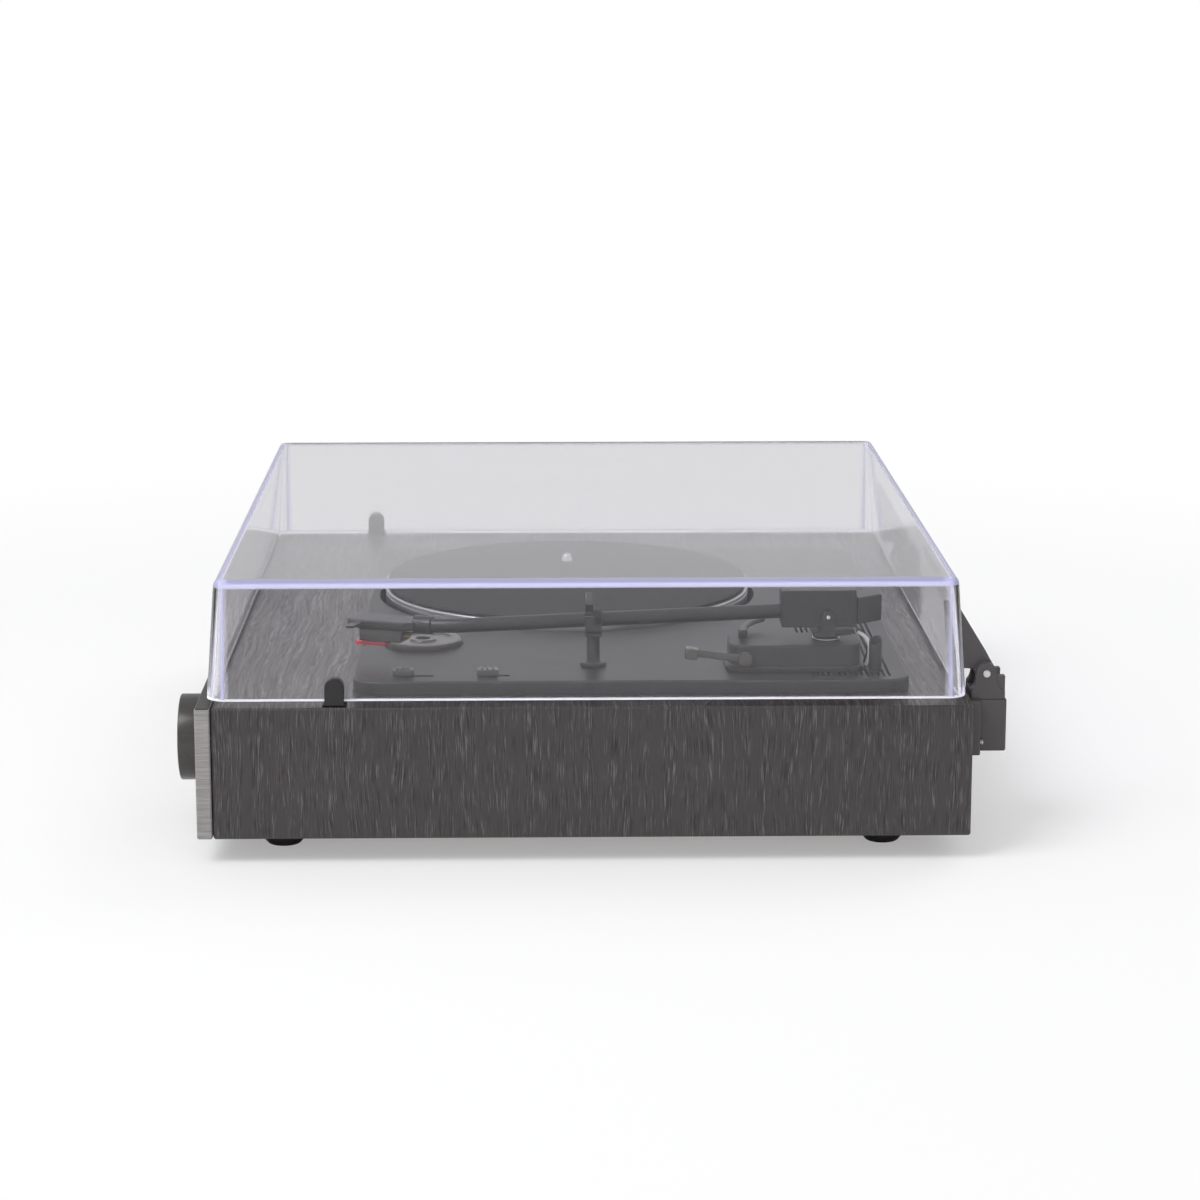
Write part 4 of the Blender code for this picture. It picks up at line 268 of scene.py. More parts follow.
@dataclass(frozen=True)
class GrainedVinyl(Finish):
    """Wood-grain vinyl foil on board: warm near-black with short embossed pores in loose bands."""

    # The darkest and lightest tones colour the pore lines: partly the foil's print, partly painted
    # groove shade and highlight.
    deep: str = "1f1c1d"
    ground: str = "363233"
    pale_pore_and_highlight: str = "62605f"
    pitch: float = 0.46
    length: float = 13.0
    streak: float = 0.2
    # The top's broad streaks are stronger than the sides' by a painted sheen.
    top_streak_and_sheen: float = 0.8

    def shader(self, tree: Tree) -> dict[str, Socket]:
        """Pores are noise in long cells, bent by a slow and a quick wander across the grain.

        Each pore is a dark line beside a light one: partly the foil's own pale pore print, and
        partly painted shade and highlight, as an embossed groove looks under light. A second noise
        strengthens them in bands and leaves the ground plain between these. A third adds broad
        streaks, strongest on top, where the extra strength is painted sheen. The grain runs up the
        sides and the rear, and from side to
        side on the top: on every face but the rear and front, across is Y and along X plus Z.
        """
        spots = add_node(tree, "TexCoord").node.outputs
        axes = add_node(tree, "SeparateXYZ", {0: spots["Object"]}).node.outputs
        faces = add_node(tree, "SeparateXYZ", {0: spots["Normal"]}).node.outputs
        level = add_node(tree, "Math", {0: faces["Y"]}, operation="ABSOLUTE")
        rear = add_node(tree, "Math", {0: level, 1: 0.7}, operation="GREATER_THAN")
        both = add_node(tree, "Math", {0: axes["X"], 1: axes["Z"]})
        across = add_node(tree, "Mix", {0: rear, 2: axes["Y"], 3: axes["X"]})
        along = add_node(tree, "Mix", {0: rear, 2: both, 3: axes["Z"]})

        def cells(place: Socket, over: float, run: float) -> Socket:
            """Noise in cells of so many millimetres across and along the grain."""
            line = add_node(tree, "CombineXYZ", {"X": place, "Y": along})
            scale = (1 / (over * MM), 1 / (run * MM), 1.0)
            where = add_node(tree, "Mapping", {"Vector": line, "Scale": scale})
            return self.noise(tree, where, 2.0)

        def wander(over: float, run: float, reach: float, start: Socket) -> Socket:
            """Moves a line's place across the grain by noise of the given cell and reach in mm."""
            wanted = {0: cells(across, over, run), 1: reach * MM, 2: start}
            return add_node(tree, "Math", wanted, operation="MULTIPLY_ADD")

        bent = wander(4.0, 10.0, 0.5, wander(50.0, 150.0, 16.0, across))
        ends = {"From Min": 0.36, "From Max": 0.62, "To Min": 0.45, "To Max": 1.45}
        band = add_node(tree, "MapRange", {"Value": cells(bent, 5.0, 80.0), **ends})
        # Faces that look up get the stronger streaks: painted sheen on top of the grain.
        raised = add_node(tree, "Math", {0: faces["Z"], 1: 0.7}, operation="GREATER_THAN")
        streak_and_sheen_gain = add_node(tree, "Mix", {0: raised, 2: self.streak, 3: self.top_streak_and_sheen})
        wanted = {0: cells(bent, 1.6, 70.0), 1: 0.5}
        broad = add_node(tree, "Math", wanted, operation="SUBTRACT")
        base = add_node(tree, "Math", {0: broad, 1: streak_and_sheen_gain, 2: 0.5}, operation="MULTIPLY_ADD")
        wanted = {0: cells(bent, self.pitch, self.length), 1: 0.5}
        swing = add_node(tree, "Math", wanted, operation="SUBTRACT")
        shade = add_node(tree, "Math", {0: swing, 1: band, 2: base}, operation="MULTIPLY_ADD")
        # Dark pore stop: partly painted groove shade; light pore stop: pale print plus painted
        # highlight.
        stops = ((0.33, self.deep), (0.46, self.ground), (0.57, self.ground), (0.74, self.pale_pore_and_highlight))
        ends = {"From Min": 0.3, "From Max": 0.7, "To Min": 0.46, "To Max": 0.30}
        wanted = {
            "Base Color": add_node(tree, "ValToRGB", {"Fac": shade}, stops=stops),
            "Roughness": add_node(tree, "MapRange", {"Value": shade, **ends}),
            "Specular IOR Level": 0.5,
            "Normal": self.relief(tree, shade, 0.1, 0.3),
        }
        return {"Surface": add_node(tree, "BsdfPrincipled", wanted)}


@dataclass(frozen=True)
class ClearAcrylic(Finish):
    """Moulded clear acrylic, with glow and highlights painted at its edges.

    A colour attribute of the mesh holds that painted colour, violet glow and white highlight, and
    in its alpha how much shows.
    """

    tint: tuple = (0.50, 0.50, 0.93, 1.0)
    density: float = 6.0

    def shader(self, tree: Tree) -> dict[str, Socket]:
        """Refracting acrylic that lets the lamps' rays through to what lies under it."""
        edge = add_node(tree, "Attribute", attribute_name="painted_edge_light").node.outputs
        haze = self.noise(tree, self.place(tree, (30.0, 30.0, 30.0)), 1.0)
        # Painted edge light: where the attribute's alpha rises, its violet glow or white highlight
        # colour replaces the clear tint and transmission falls.
        wanted = {0: edge["Alpha"], 6: linear("f9f8f9"), 7: edge["Color"]}
        tone = add_node(tree, "Mix", wanted, 2, data_type="RGBA")
        ends = {"To Min": 1.0, "To Max": 0.1}
        wanted = {
            "Base Color": tone,
            "Roughness": add_node(tree, "MapRange", {"Value": haze, "To Min": 0.0, "To Max": 0.03}),
            "IOR": 1.49,
            "Specular IOR Level": 0.2,
            "Transmission Weight": add_node(tree, "MapRange", {"Value": edge["Alpha"], **ends}),
        }
        solid = add_node(tree, "BsdfPrincipled", wanted)
        clear = add_node(tree, "BsdfTransparent", {"Color": linear("fafafc")})
        path = add_node(tree, "LightPath", out="Is Shadow Ray")
        wanted = {"Color": self.tint, "Density": self.density}
        return {
            "Surface": add_node(tree, "MixShader", {0: path, 1: solid, 2: clear}),
            "Volume": add_node(tree, "VolumeAbsorption", wanted),
        }


@dataclass(frozen=True)
class PrintedBoard(Finish):
    """Green solder resist over copper tracks."""

    resist: str = "2a5236"
    track: str = "3f7a4c"

    def shader(self, tree: Tree) -> dict[str, Socket]:
        """Tracks are the borders of square cells."""
        where = self.place(tree, (5.0, 5.0, 5.0))
        wanted = {"Vector": where, "Scale": 1.0, "Randomness": 0.4}
        cells = add_node(tree, "TexVoronoi", wanted, "Distance", feature="DISTANCE_TO_EDGE")
        stops = ((0.05, self.track), (0.09, self.resist))
        tone = add_node(tree, "ValToRGB", {"Fac": cells}, stops=stops)
        wanted = {"Base Color": tone, "Roughness": 0.35}
        return {"Surface": add_node(tree, "BsdfPrincipled", wanted)}


# Black-ash vinyl foil, embossed: dark, with pale broken pore lines.
ASH_VINYL = GrainedVinyl("black ash vinyl foil, embossed", "black_ash_vinyl")
# Pressed hardboard: brown, with short fibres.
HARDBOARD = Moulded("hardboard, pressed", "hardboard", "63492f", "7a5b3f", 0.75, 1.4, 0.05)
# Brushed aluminium laminate on board: pale warm grey with streaks from side to side.
BRUSHED_PANEL = Streaked(
    "aluminium laminate, brushed", "brushed_panel", "7b7877", "a19e9d", 0.42,
    cell=(60.0, 14.0, 0.45), metallic=0.35, depth=0.03, top="3a3838",
)
# Satin black moulded plastic: a broad soft highlight.
SATIN_BLACK = Moulded(
    "black plastic, satin moulded", "satin_black", "3a3735", "413e3d", 0.26, 0.4, 0.003
)
# Rubber, moulded: nearly black and dull.
RUBBER = Moulded("rubber, moulded", "rubber", "191718", "201e1f", 0.5, 0.5, 0.006)
# Charcoal styrene with a spark-eroded texture: even, softly lit.
DECK_PLASTIC = Moulded(
    "styrene, spark-eroded texture", "deck_plastic", "232225", "29282b", 0.4, 0.3, 0.003, shine=0.35
)
# Charcoal acetal, smooth moulded: light edges.
ARM_PLASTIC = Moulded(
    "acetal, smooth moulded", "arm_plastic", "222124", "272629", 0.32, 0.5, 0.002, shine=0.35
)
# Glass-filled nylon, moulded: brown-grey, dry.
HINGE_PLASTIC = Moulded(
    "nylon, glass filled", "hinge_plastic", "444041", "4c494a", 0.46, 0.45, 0.006
)
ACRYLIC = ClearAcrylic("acrylic, clear moulded", "clear_acrylic")
# Cast aluminium, machined on the face: fine rings round the spindle.
CAST_ALUMINIUM = Lathed(
    "aluminium, cast and turned", "cast_aluminium", "a4a4a6", "bcbcbe", 0.32,
    centre=(-22.0, -10.0, 0.0), pitch=0.8,
)
# Wool felt, pressed: dull black with loose fibres, drawn coarser than real ones to show.
FELT = Moulded("wool felt, pressed", "felt", "1f1f21", "37373a", 0.95, 0.8, 0.15)
# Polished steel: bright and hard.
POLISHED_STEEL = Streaked(
    "steel, polished", "polished_steel", "c4c4c7", "d2d2d5", 0.14, cell=(0.8, 0.8, 4.0), depth=0.002
)
# Zinc-plated steel: greyer, with a soft drawn streak.
ZINC_STEEL = Streaked(
    "steel, zinc plated", "zinc_steel", "c8c8c6", "d8d8d8", 0.3, cell=(4.0, 0.6, 0.6), depth=0.005
)
# Free-cutting brass, turned.
BRASS = Streaked("brass, turned", "brass", "ac8c4b", "c2a25f", 0.3, cell=(5.0, 5.0, 0.4))
# The nearest lead drawn white: a painted highlight that stands for the bright strip along the dark
# wires.
WHITE_LEAD_HIGHLIGHT = Moulded(
    "lead, white as a painted highlight", "white_lead", "cfcdc8", "dcdad6", 0.35, 0.8, 0.004
)
# Red polycarbonate stylus body: glossy.
STYLUS_RED = Moulded(
    "polycarbonate, red", "stylus_red", "b52c3d", "cb394b", 0.22, 0.6, 0.004, coat=0.3
)
# Red lens of the power lamp.
LAMP_RED = Moulded("lens plastic, red", "lamp_red", "a41c22", "b8262c", 0.12, 0.6, 0.002, coat=0.5)
BOARD_GREEN = PrintedBoard("glass-fibre board, printed", "circuit_board")
# Red and white moulded collars that tell the line jacks' channels apart.
COLLAR_RED = Moulded("collar plastic, red", "stylus_red", "a3222b", "b32a34", 0.3, depth=0.004)
COLLAR_WHITE = Moulded("collar plastic, white", "white_lead", "d8d7d3", "e2e1de", 0.3, depth=0.004)
CAD_FINISHES = (
    ASH_VINYL, HARDBOARD, BRUSHED_PANEL, SATIN_BLACK, RUBBER, DECK_PLASTIC, ARM_PLASTIC,
    HINGE_PLASTIC, ACRYLIC, CAST_ALUMINIUM, FELT, POLISHED_STEEL, ZINC_STEEL, BRASS,
    WHITE_LEAD_HIGHLIGHT, STYLUS_RED, LAMP_RED, BOARD_GREEN,
)


@cache
def material_of(finish: Finish) -> bpy.types.Material:
    """Makes a finish's material, once."""
    material = bpy.data.materials.new(finish.name)
    tree = empty_tree(material)
    add_node(tree, "OutputMaterial", finish.shader(tree))
    return material


# Shapes, worked out as whole arrays


class Facing(Enum):
    """Where a local shape's height points: the world directions of its three local axes."""

    UP = ((1, 0, 0), (0, 1, 0), (0, 0, 1))
    FRONT = ((1, 0, 0), (0, 0, 1), (0, -1, 0))
    REAR = ((-1, 0, 0), (0, 0, 1), (0, 1, 0))
    SIDE = ((0, 1, 0), (0, 0, 1), (1, 0, 0))


@dataclass
class Shape:
    """Points of a surface, and its faces as arrays that index them, one for each side count."""

    points: Array
    groups: list[Array]

    def outward(self) -> "Shape":
        """Turns the faces round where the volume that they enclose comes out negative.

        The volume is the sum, over each face's fan of triangles, of p0 . (p1 x p2) / 6.
        """
        volume = 0.0
        for group in self.groups:
            p = self.points[group]
            fan = np.cross(p[:, 1:-1], p[:, 2:])
            volume += float(np.einsum("fi,fni->", p[:, 0], fan))
        if volume < 0:
            self.groups = [group[:, ::-1] for group in self.groups]
        return self

    def placed(self, at: tuple = (0, 0, 0), facing: Facing = Facing.UP) -> "Shape":
        """Moves the shape to a place, its height along one of the world's directions."""
        return Shape(self.points @ np.array(facing.value, float) + np.array(at), self.groups)

    def tilted(self, axis: str, degrees: float) -> "Shape":
        """Turns the shape about the named axis through the origin."""
        turn = np.array(Matrix.Rotation(math.radians(degrees), 3, axis))
        return Shape(self.points @ turn.T, self.groups)

    @staticmethod
    def joined(shapes: tuple["Shape", ...]) -> "Shape":
        """Puts several shapes into one, each index raised by the points before it."""
        starts = np.cumsum([0] + [len(shape.points) for shape in shapes])
        groups = [g + start for shape, start in zip(shapes, starts) for g in shape.groups]
        return Shape(np.concatenate([shape.points for shape in shapes]), groups)


def unit(vectors: Array) -> Array:
    """The vectors at a length of one."""
    return vectors / np.linalg.norm(vectors, axis=-1, keepdims=True)


def soften(points: Array | list, radii: Radii, steps: int = 6, closed: bool = True) -> Array:
    """Rounds the corners of lines with circular arcs.

    A corner C turns into ((1-t)^2 A + 2 w t (1-t) C + t^2 B) / ((1-t)^2 + 2 w t (1-t) + t^2),
    where A and B lie the radius times the tangent of half the turn before and after it, and w is
    the cosine of half the turn.

    Args:
        points: corners, as (..., corners, 2).
        radii: one radius for all, or one for each corner.
        steps: points in each arc.
        closed: whether the line runs round; an open one keeps its ends.

    Returns:
        The rounded lines, as (..., points, 2).
    """
    points = np.asarray(points, float)
    u = unit(points - np.roll(points, 1, -2))
    v = unit(np.roll(points, -1, -2) - points)
    cosine = np.clip((u * v).sum(-1), -0.999, 1.0)
    reach = (np.asarray(radii, float) * np.sqrt((1 - cosine) / (1 + cosine)))[..., None]
    t = np.linspace(0, 1, steps)
    first = ((1 - t) ** 2)[:, None]
    last = (t**2)[:, None]
    middle = (2 * np.sqrt((1 + cosine) / 2)[..., None] * t * (1 - t))[..., None]
    bend = first * (points - u * reach)[..., None, :] + middle * points[..., None, :]
    bend = (bend + last * (points + v * reach)[..., None, :]) / (first + middle + last)
    if closed:
        return bend.reshape(*points.shape[:-2], -1, 2)
    inner = bend[..., 1:-1, :, :].reshape(*points.shape[:-2], -1, 2)
    return np.concatenate([points[..., :1, :], inner, points[..., -1:, :]], axis=-2)


@dataclass
class Outline:
    """A closed line of corners in counter-clockwise order, each rounded by its radius."""

    corners: Array | list
    radii: Radii = 0.05
    steps: int = 6

    def inset(self, amounts: Array) -> Array:
        """The line moved inward by each amount, or outward where it is negative.

        A corner moves by the amount times (m + n) / (1 + m . n), with m and n the inward normals of
        the edges that meet there. An outward corner's radius shrinks by the amount.
        """
        corners = np.asarray(self.corners, float)
        u = unit(corners - np.roll(corners, 1, 0))
        v = unit(np.roll(corners, -1, 0) - corners)
        m = np.stack([-u[:, 1], u[:, 0]], -1)
        n = np.stack([-v[:, 1], v[:, 0]], -1)
        miter = (m + n) / (1 + (m * n).sum(-1, keepdims=True))
        amounts = np.asarray(amounts, float)
        moved = corners + amounts[:, None, None] * miter
        if self.steps == 1:
            return moved
        bend = np.sign(u[:, 0] * v[:, 1] - u[:, 1] * v[:, 0])
        radii = np.broadcast_to(self.radii, bend.shape) - amounts[:, None] * bend
        return soften(moved, np.maximum(radii, 0.02), self.steps)


def box_outline(x: tuple, y: tuple, radius: float = 0.05, steps: int = 6) -> Outline:
    """A rectangle between pairs of limits, with rounded corners."""
    (x0, x1), (y0, y1) = x, y
    return Outline([(x0, y0), (x1, y0), (x1, y1), (x0, y1)], radius, steps)


def arc(centre: tuple, radius: float, start: float, end: float, count: int) -> Array:
    """Points on a circle's arc: the centre plus the radius times (cosine, sine) of each angle."""
    turn = np.radians(np.linspace(start, end, count))
    return np.array(centre) + radius * np.stack([np.cos(turn), np.sin(turn)], -1)


def curve(start: tuple, pull: tuple, end: tuple, count: int) -> Array:
    """A bend of the second degree: (1-t)^2 start + 2 t (1-t) pull + t^2 end."""
    t = np.linspace(0, 1, count)[:, None]
    return (1 - t) ** 2 * np.array(start) + 2 * t * (1 - t) * np.array(pull) + t**2 * np.array(end)


def circle(centre: tuple, radius: float, sides: int = 96) -> Outline:
    """A circle as an outline of many corners."""
    return Outline(arc(centre, radius, 0, 360, sides + 1)[:-1], 0.0, 1)


def wall(low: float, high: float, low_edge: float = 0.3, high_edge: float = 0.3) -> Array:
    """The section of a plain block's wall: (inset, height) from its foot to its top.

    Args:
        low: height of the underside.
        high: height of the top.
        low_edge: radius of the lower edge.
        high_edge: radius of the upper edge.

    Returns:
        The rounded section, with a flat collar at either end.
    """
    line = [(low_edge + COLLAR, low), (0, low), (0, high), (high_edge + COLLAR, high)]
    return soften(line, [0.0, low_edge, high_edge, 0.0], closed=False)


def lifted(flat: Array, section: Array) -> Array:
    """Flat rings as (rings, points, 2), each at the height that its row of the section gives."""
    height = np.broadcast_to(section[:, 1, None, None], (*flat.shape[:2], 1))
    return np.concatenate([flat, height], -1)


def prism(outline: Outline, section: Array) -> Array:
    """Rings of a block: the outline, inset by the section's first value, at its second."""
    return lifted(outline.inset(section[:, 0]), section)


def lathe(section: Array, sides: int = 96) -> Array:
    """Rings of a turned piece: (cosine, sine) of each angle times the section's radius."""
    turn = np.linspace(0, 2 * math.pi, sides, endpoint=False)
    return lifted(section[:, 0, None, None] * np.stack([np.cos(turn), np.sin(turn)], -1), section)


def skin(rings: Array, wrap: bool = False, caps: tuple = (True, True)) -> Shape:
    """Covers rings of points with four-sided faces between neighbours.

    Args:
        rings: (rings, points, 3); the points of a ring run round.
        wrap: whether the last ring joins the first, as on a hoop.
        caps: whether a face closes the first and the last ring.

    Returns:
        The surface; a closed one has its faces outward.
    """
    grid = np.arange(rings.shape[0] * rings.shape[1]).reshape(rings.shape[:2])
    low = grid if wrap else grid[:-1]
    high = np.roll(grid, -1, 0) if wrap else grid[1:]
    quads = np.stack([low, np.roll(low, -1, 1), np.roll(high, -1, 1), high], -1)
    groups = [quads.reshape(-1, 4)]
    if not wrap:
        groups += [ring for ring, cap in ((grid[:1, ::-1], caps[0]), (grid[-1:], caps[1])) if cap]
    shape = Shape(rings.reshape(-1, 3), groups)
    return shape.outward() if wrap or all(caps) else shape


def swept(path: Array, radius: float, across: tuple, sides: int = 24) -> Shape:
    """A tube: each point of the path plus the radius times two directions square to it.

    Args:
        path: the middle line, as (points, 3).
        radius: the tube's radius.
        across: a direction that is nowhere along the path.
        sides: points in each ring.

    Returns:
        The tube, closed at both ends.
    """
    ahead = unit(np.gradient(path, axis=0))
    side = unit(np.cross(ahead, np.array(across, float)))
    rise = np.cross(side, ahead)
    turn = np.linspace(0, 2 * math.pi, sides, endpoint=False)[None, :, None]
    spread = np.cos(turn) * side[:, None] + np.sin(turn) * rise[:, None]
    return skin(path[:, None] + radius * spread)


def slab(
    outline: Outline, span: tuple, edges: tuple = (0.3, 0.3), facing: Facing = Facing.UP
) -> Shape:
    """A plain block over an outline.

    Args:
        outline: its line in plan.
        span: its lowest and highest height.
        edges: the radii of its lower and its upper edge.
        facing: where its height points.

    Returns:
        The closed block.
    """
    return skin(prism(outline, wall(*span, *edges))).placed(facing=facing)


def block(x: tuple, y: tuple, z: tuple, corner: float = 0.4, edge: float = 0.3) -> Shape:
    """A plain block between pairs of limits, its upright corners and its edges rounded."""
    return slab(box_outline(x, y, max(corner, edge)), z, (edge, edge))


def turned(
    line: list, radii: Radii, sides: int = 96, steps: int = 6, ring: bool = False
) -> Shape:
    """A piece turned on a lathe.

    Args:
        line: the (radius, height) corners of its section.
        radii: the corners' radii.
        sides: points round the piece.
        steps: points in each corner's arc.
        ring: whether the section closes round a bore, instead of ending near the axis.

    Returns:
        The closed piece.
    """
    return skin(lathe(soften(line, radii, steps, closed=ring), sides), wrap=ring)


def inside(line: Array, points: Array) -> Array:
    """Whether points lie inside a closed line.

    A ray to the right from such a point crosses the line an odd number of times.
    """
    after = np.roll(line, -1, 0)
    x, y = points[:, None, 0], points[:, None, 1]
    spans = (line[:, 1] > y) != (after[:, 1] > y)
    rise = np.where(after[:, 1] == line[:, 1], 1.0, after[:, 1] - line[:, 1])
    meet = line[:, 0] + (y - line[:, 1]) / rise * (after[:, 0] - line[:, 0])
    return (spans & (x < meet)).sum(1) % 2 == 1


def pierced(border: Array, holes: list[Array], height: float) -> Shape:
    """A flat face with holes: the triangulation of all lines, less what lies in a hole.

    Args:
        border: the outer line.
        holes: the lines of the holes.
        height: the face's height.

    Returns:
        The flat, open surface.
    """
    lines = [border, *holes]
    starts = np.cumsum([0] + [len(line) for line in lines])
    runs = [start + np.arange(len(line)) for line, start in zip(lines, starts)]
    edges = np.concatenate([np.stack([run, np.roll(run, -1)], -1) for run in runs])
    spots = np.concatenate(lines).tolist()
    flat, _, faces, *_ = delaunay_2d_cdt(spots, edges.tolist(), [], 0, 1e-6)
    flat, faces = np.array([tuple(p) for p in flat]), np.array(faces)
    middle = flat[faces].mean(1)
    keep = inside(border, middle)
    for hole in holes:
        keep &= ~inside(hole, middle)
    points = np.concatenate([flat, np.full((len(flat), 1), height)], -1)
    return Shape(points, [faces[keep]])


class Body(Enum):
    """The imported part's bodies that pieces ride on."""

    CASE = "plinth"
    KNOB = "volume_knob"
    SPEED = "speed_switch"
    STOP = "auto_stop_switch"
    PLATTER = "platter"
    SWIVEL = "tonearm_swivel"
    ARM = "tonearm"
    CLIP = "arm_clip"
    LIFT = "cue_lift"
    LEVER = "cue_lever"
    COVER = "dust_cover"


def show(name: str, data: bpy.types.ID) -> bpy.types.Object:
    """Makes an object of some data and puts it into the scene."""
    thing = bpy.data.objects.new(name, data)
    bpy.context.scene.collection.objects.link(thing)
    return thing


def piece(
    name: str,
    finish: Finish,
    body: Body,
    node: str,
    *shapes: Shape,
    sharp: float = 32.0,
    weld: bool = False,
    glow: Array | None = None,
) -> None:
    """Makes one piece of the dressed model.

    Args:
        name: the piece's name.
        finish: what it is made of.
        body: the body that it rides on.
        node: the CAD node that it stands for, if any.
        shapes: its surfaces, in millimetres.
        sharp: edges that turn by more degrees than this stay crisp.
        weld: whether open surfaces are joined at their borders.
        glow: the colour and share of the glow and highlights painted at each point, for clear
            acrylic.
    """
    whole = Shape.joined(shapes)
    mesh = bpy.data.meshes.new(name)
    faces = [face for group in whole.groups for face in group.tolist()]
    mesh.from_pydata(whole.points * MM, [], faces)
    if weld:
        shell = bmesh.new()
        shell.from_mesh(mesh)
        bmesh.ops.remove_doubles(shell, verts=shell.verts, dist=0.002 * MM)
        bmesh.ops.recalc_face_normals(shell, faces=shell.faces)
        shell.to_mesh(mesh)
        shell.free()
    if glow is not None:
        light = mesh.attributes.new("painted_edge_light", "FLOAT_COLOR", "POINT")
        light.data.foreach_set("color", glow.ravel())
    mesh.shade_smooth()
    mesh.set_sharp_from_angle(angle=math.radians(sharp))
    mesh.materials.append(material_of(finish))
    thing = show(name, mesh)
    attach(thing, body.value)
    if node:
        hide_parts(node)
    LOG.info("%s rides on %s, %d faces", name, body.value, len(mesh.polygons))


def dress_cad() -> None:
    """Gives every CAD node the finish of its material slot."""
    finishes = {finish.slot: finish for finish in CAD_FINISHES}
    slots = {row["node"]: row["material_slot"] for row in frame["record"]["subparts"]}
    for name, node in frame["nodes"].items():
        for slot in node.material_slots:
            slot.material = material_of(finishes[slots[name]])
        LOG.info("%s keeps its CAD shape, dressed in %s", name, slots[name])


@dataclass
class Case:
    """The four feet under the vinyl-covered plinth."""

    foot_x: float = 173.0
    foot_front: float = -147.5
    foot_rear: float = 139.5
    foot_top: float = 9.8
    foot_base: float = 7.6
    foot_height: float = 11.7
    belly: float = 2.7

    def build(self) -> None:
        """Turns the feet, rounded where they meet the table."""
        top, base, height = self.foot_top, self.foot_base, self.foot_height
        line = [(0.2, 0), (base, 0), (top, self.belly), (top, height), (0.2, height)]
        foot = turned(line, [0, 1.8, 1.6, 0.5, 0], 64)
        for end, y in (("front", self.foot_front), ("rear", self.foot_rear)):
            for word, side in SIDES:
                node = f"foot_{end}_{word}"
                spot = foot.placed((side * self.foot_x, y, 0.0))
                piece(node + "_rubber", RUBBER, Body.CASE, node, spot)


@dataclass
class VolumeControl:
    """The big knob on the front panel, and the lamp beside it."""

    x: float = 138.0
    z: float = 43.5
    back: float = -186.3
    radius: float = 21.0
    depth: float = 13.2
    dish: float = 0.5
    pointer_turn: float = 150.0
    lamp_x: float = 102.0
    lamp_radius: float = 1.6
    panel_y: float = -185.5

    def build(self) -> None:
        """Turns the knob with a dished face, lays its pointer in the dish and sets the lamp.

        The pointer stands at seven o'clock, where a knob that is turned down has it.
        """
        rim, face, at = self.radius - 1.6, self.depth - self.dish, (self.x, self.back, self.z)
        line = [
            (0.2, 0), (self.radius, 0), (self.radius, self.depth), (rim, self.depth),
            (rim - 0.8, face), (0.2, face),
        ]
        knob = turned(line, [0, 0.4, 0.8, 0.3, 0.4, 0], 128, 5).placed(at, Facing.FRONT)
        piece("knob_cap", SATIN_BLACK, Body.KNOB, "volume_knob", knob, sharp=40)
        pointer = block((-0.6, 0.6), (9.5, 17.5), (face - 0.4, face + 0.2), 0.5, 0.1)
        pointer = pointer.tilted("Z", self.pointer_turn).placed(at, Facing.FRONT)
        piece("knob_pointer", ZINC_STEEL, Body.KNOB, "", pointer)
        r = self.lamp_radius
        lens = turned([(0.15, 0.8), (r, 0.8), (r, -6.0), (0.15, -6.0)], [0, 0.75, 0.05, 0], 48)
        lens = lens.placed((self.lamp_x, self.panel_y, self.z), Facing.FRONT)
        piece("lamp_lens", LAMP_RED, Body.CASE, "power_lamp", lens)


@dataclass
class Terminals:
    """Coloured collars round the line jacks at the rear, and the terminal plate's screws."""

    red_x: float = -50.4
    white_x: float = -72.4
    y: float = 181.6
    z: float = 43.5
    plate_y: float = 179.8
    left: float = -105.4
    right: float = 4.6
    low: float = 30.5
    high: float = 56.5

    def build(self) -> None:
        """Turns a collar for either channel, and the screws at the plate's corners."""
        collar = turned([(4.25, 0), (5.7, 0), (5.7, 1.6), (4.25, 1.6)], 0.3, 48, 4, ring=True)
        for word, x, finish in (
            ("right", self.red_x, COLLAR_RED), ("left", self.white_x, COLLAR_WHITE),
        ):
            spot = collar.placed((x, self.y, self.z), Facing.REAR)
            piece("line_collar_" + word, finish, Body.CASE, "", spot)
        line = [(0.2, -0.6), (0.5, 0.3), (0.7, 0.9), (2.0, 0.6), (2.0, -0.6)]
        head = turned(line, [0, 0.1, 0.2, 0.4, 0], 32, 4)
        ends, levels = (self.left, self.right), (self.low, self.high)
        spots = [(x, self.plate_y, z) for x in ends for z in levels]
        screws = [head.placed(spot, Facing.REAR) for spot in spots]
        piece("terminal_screws", ZINC_STEEL, Body.CASE, "", *screws)


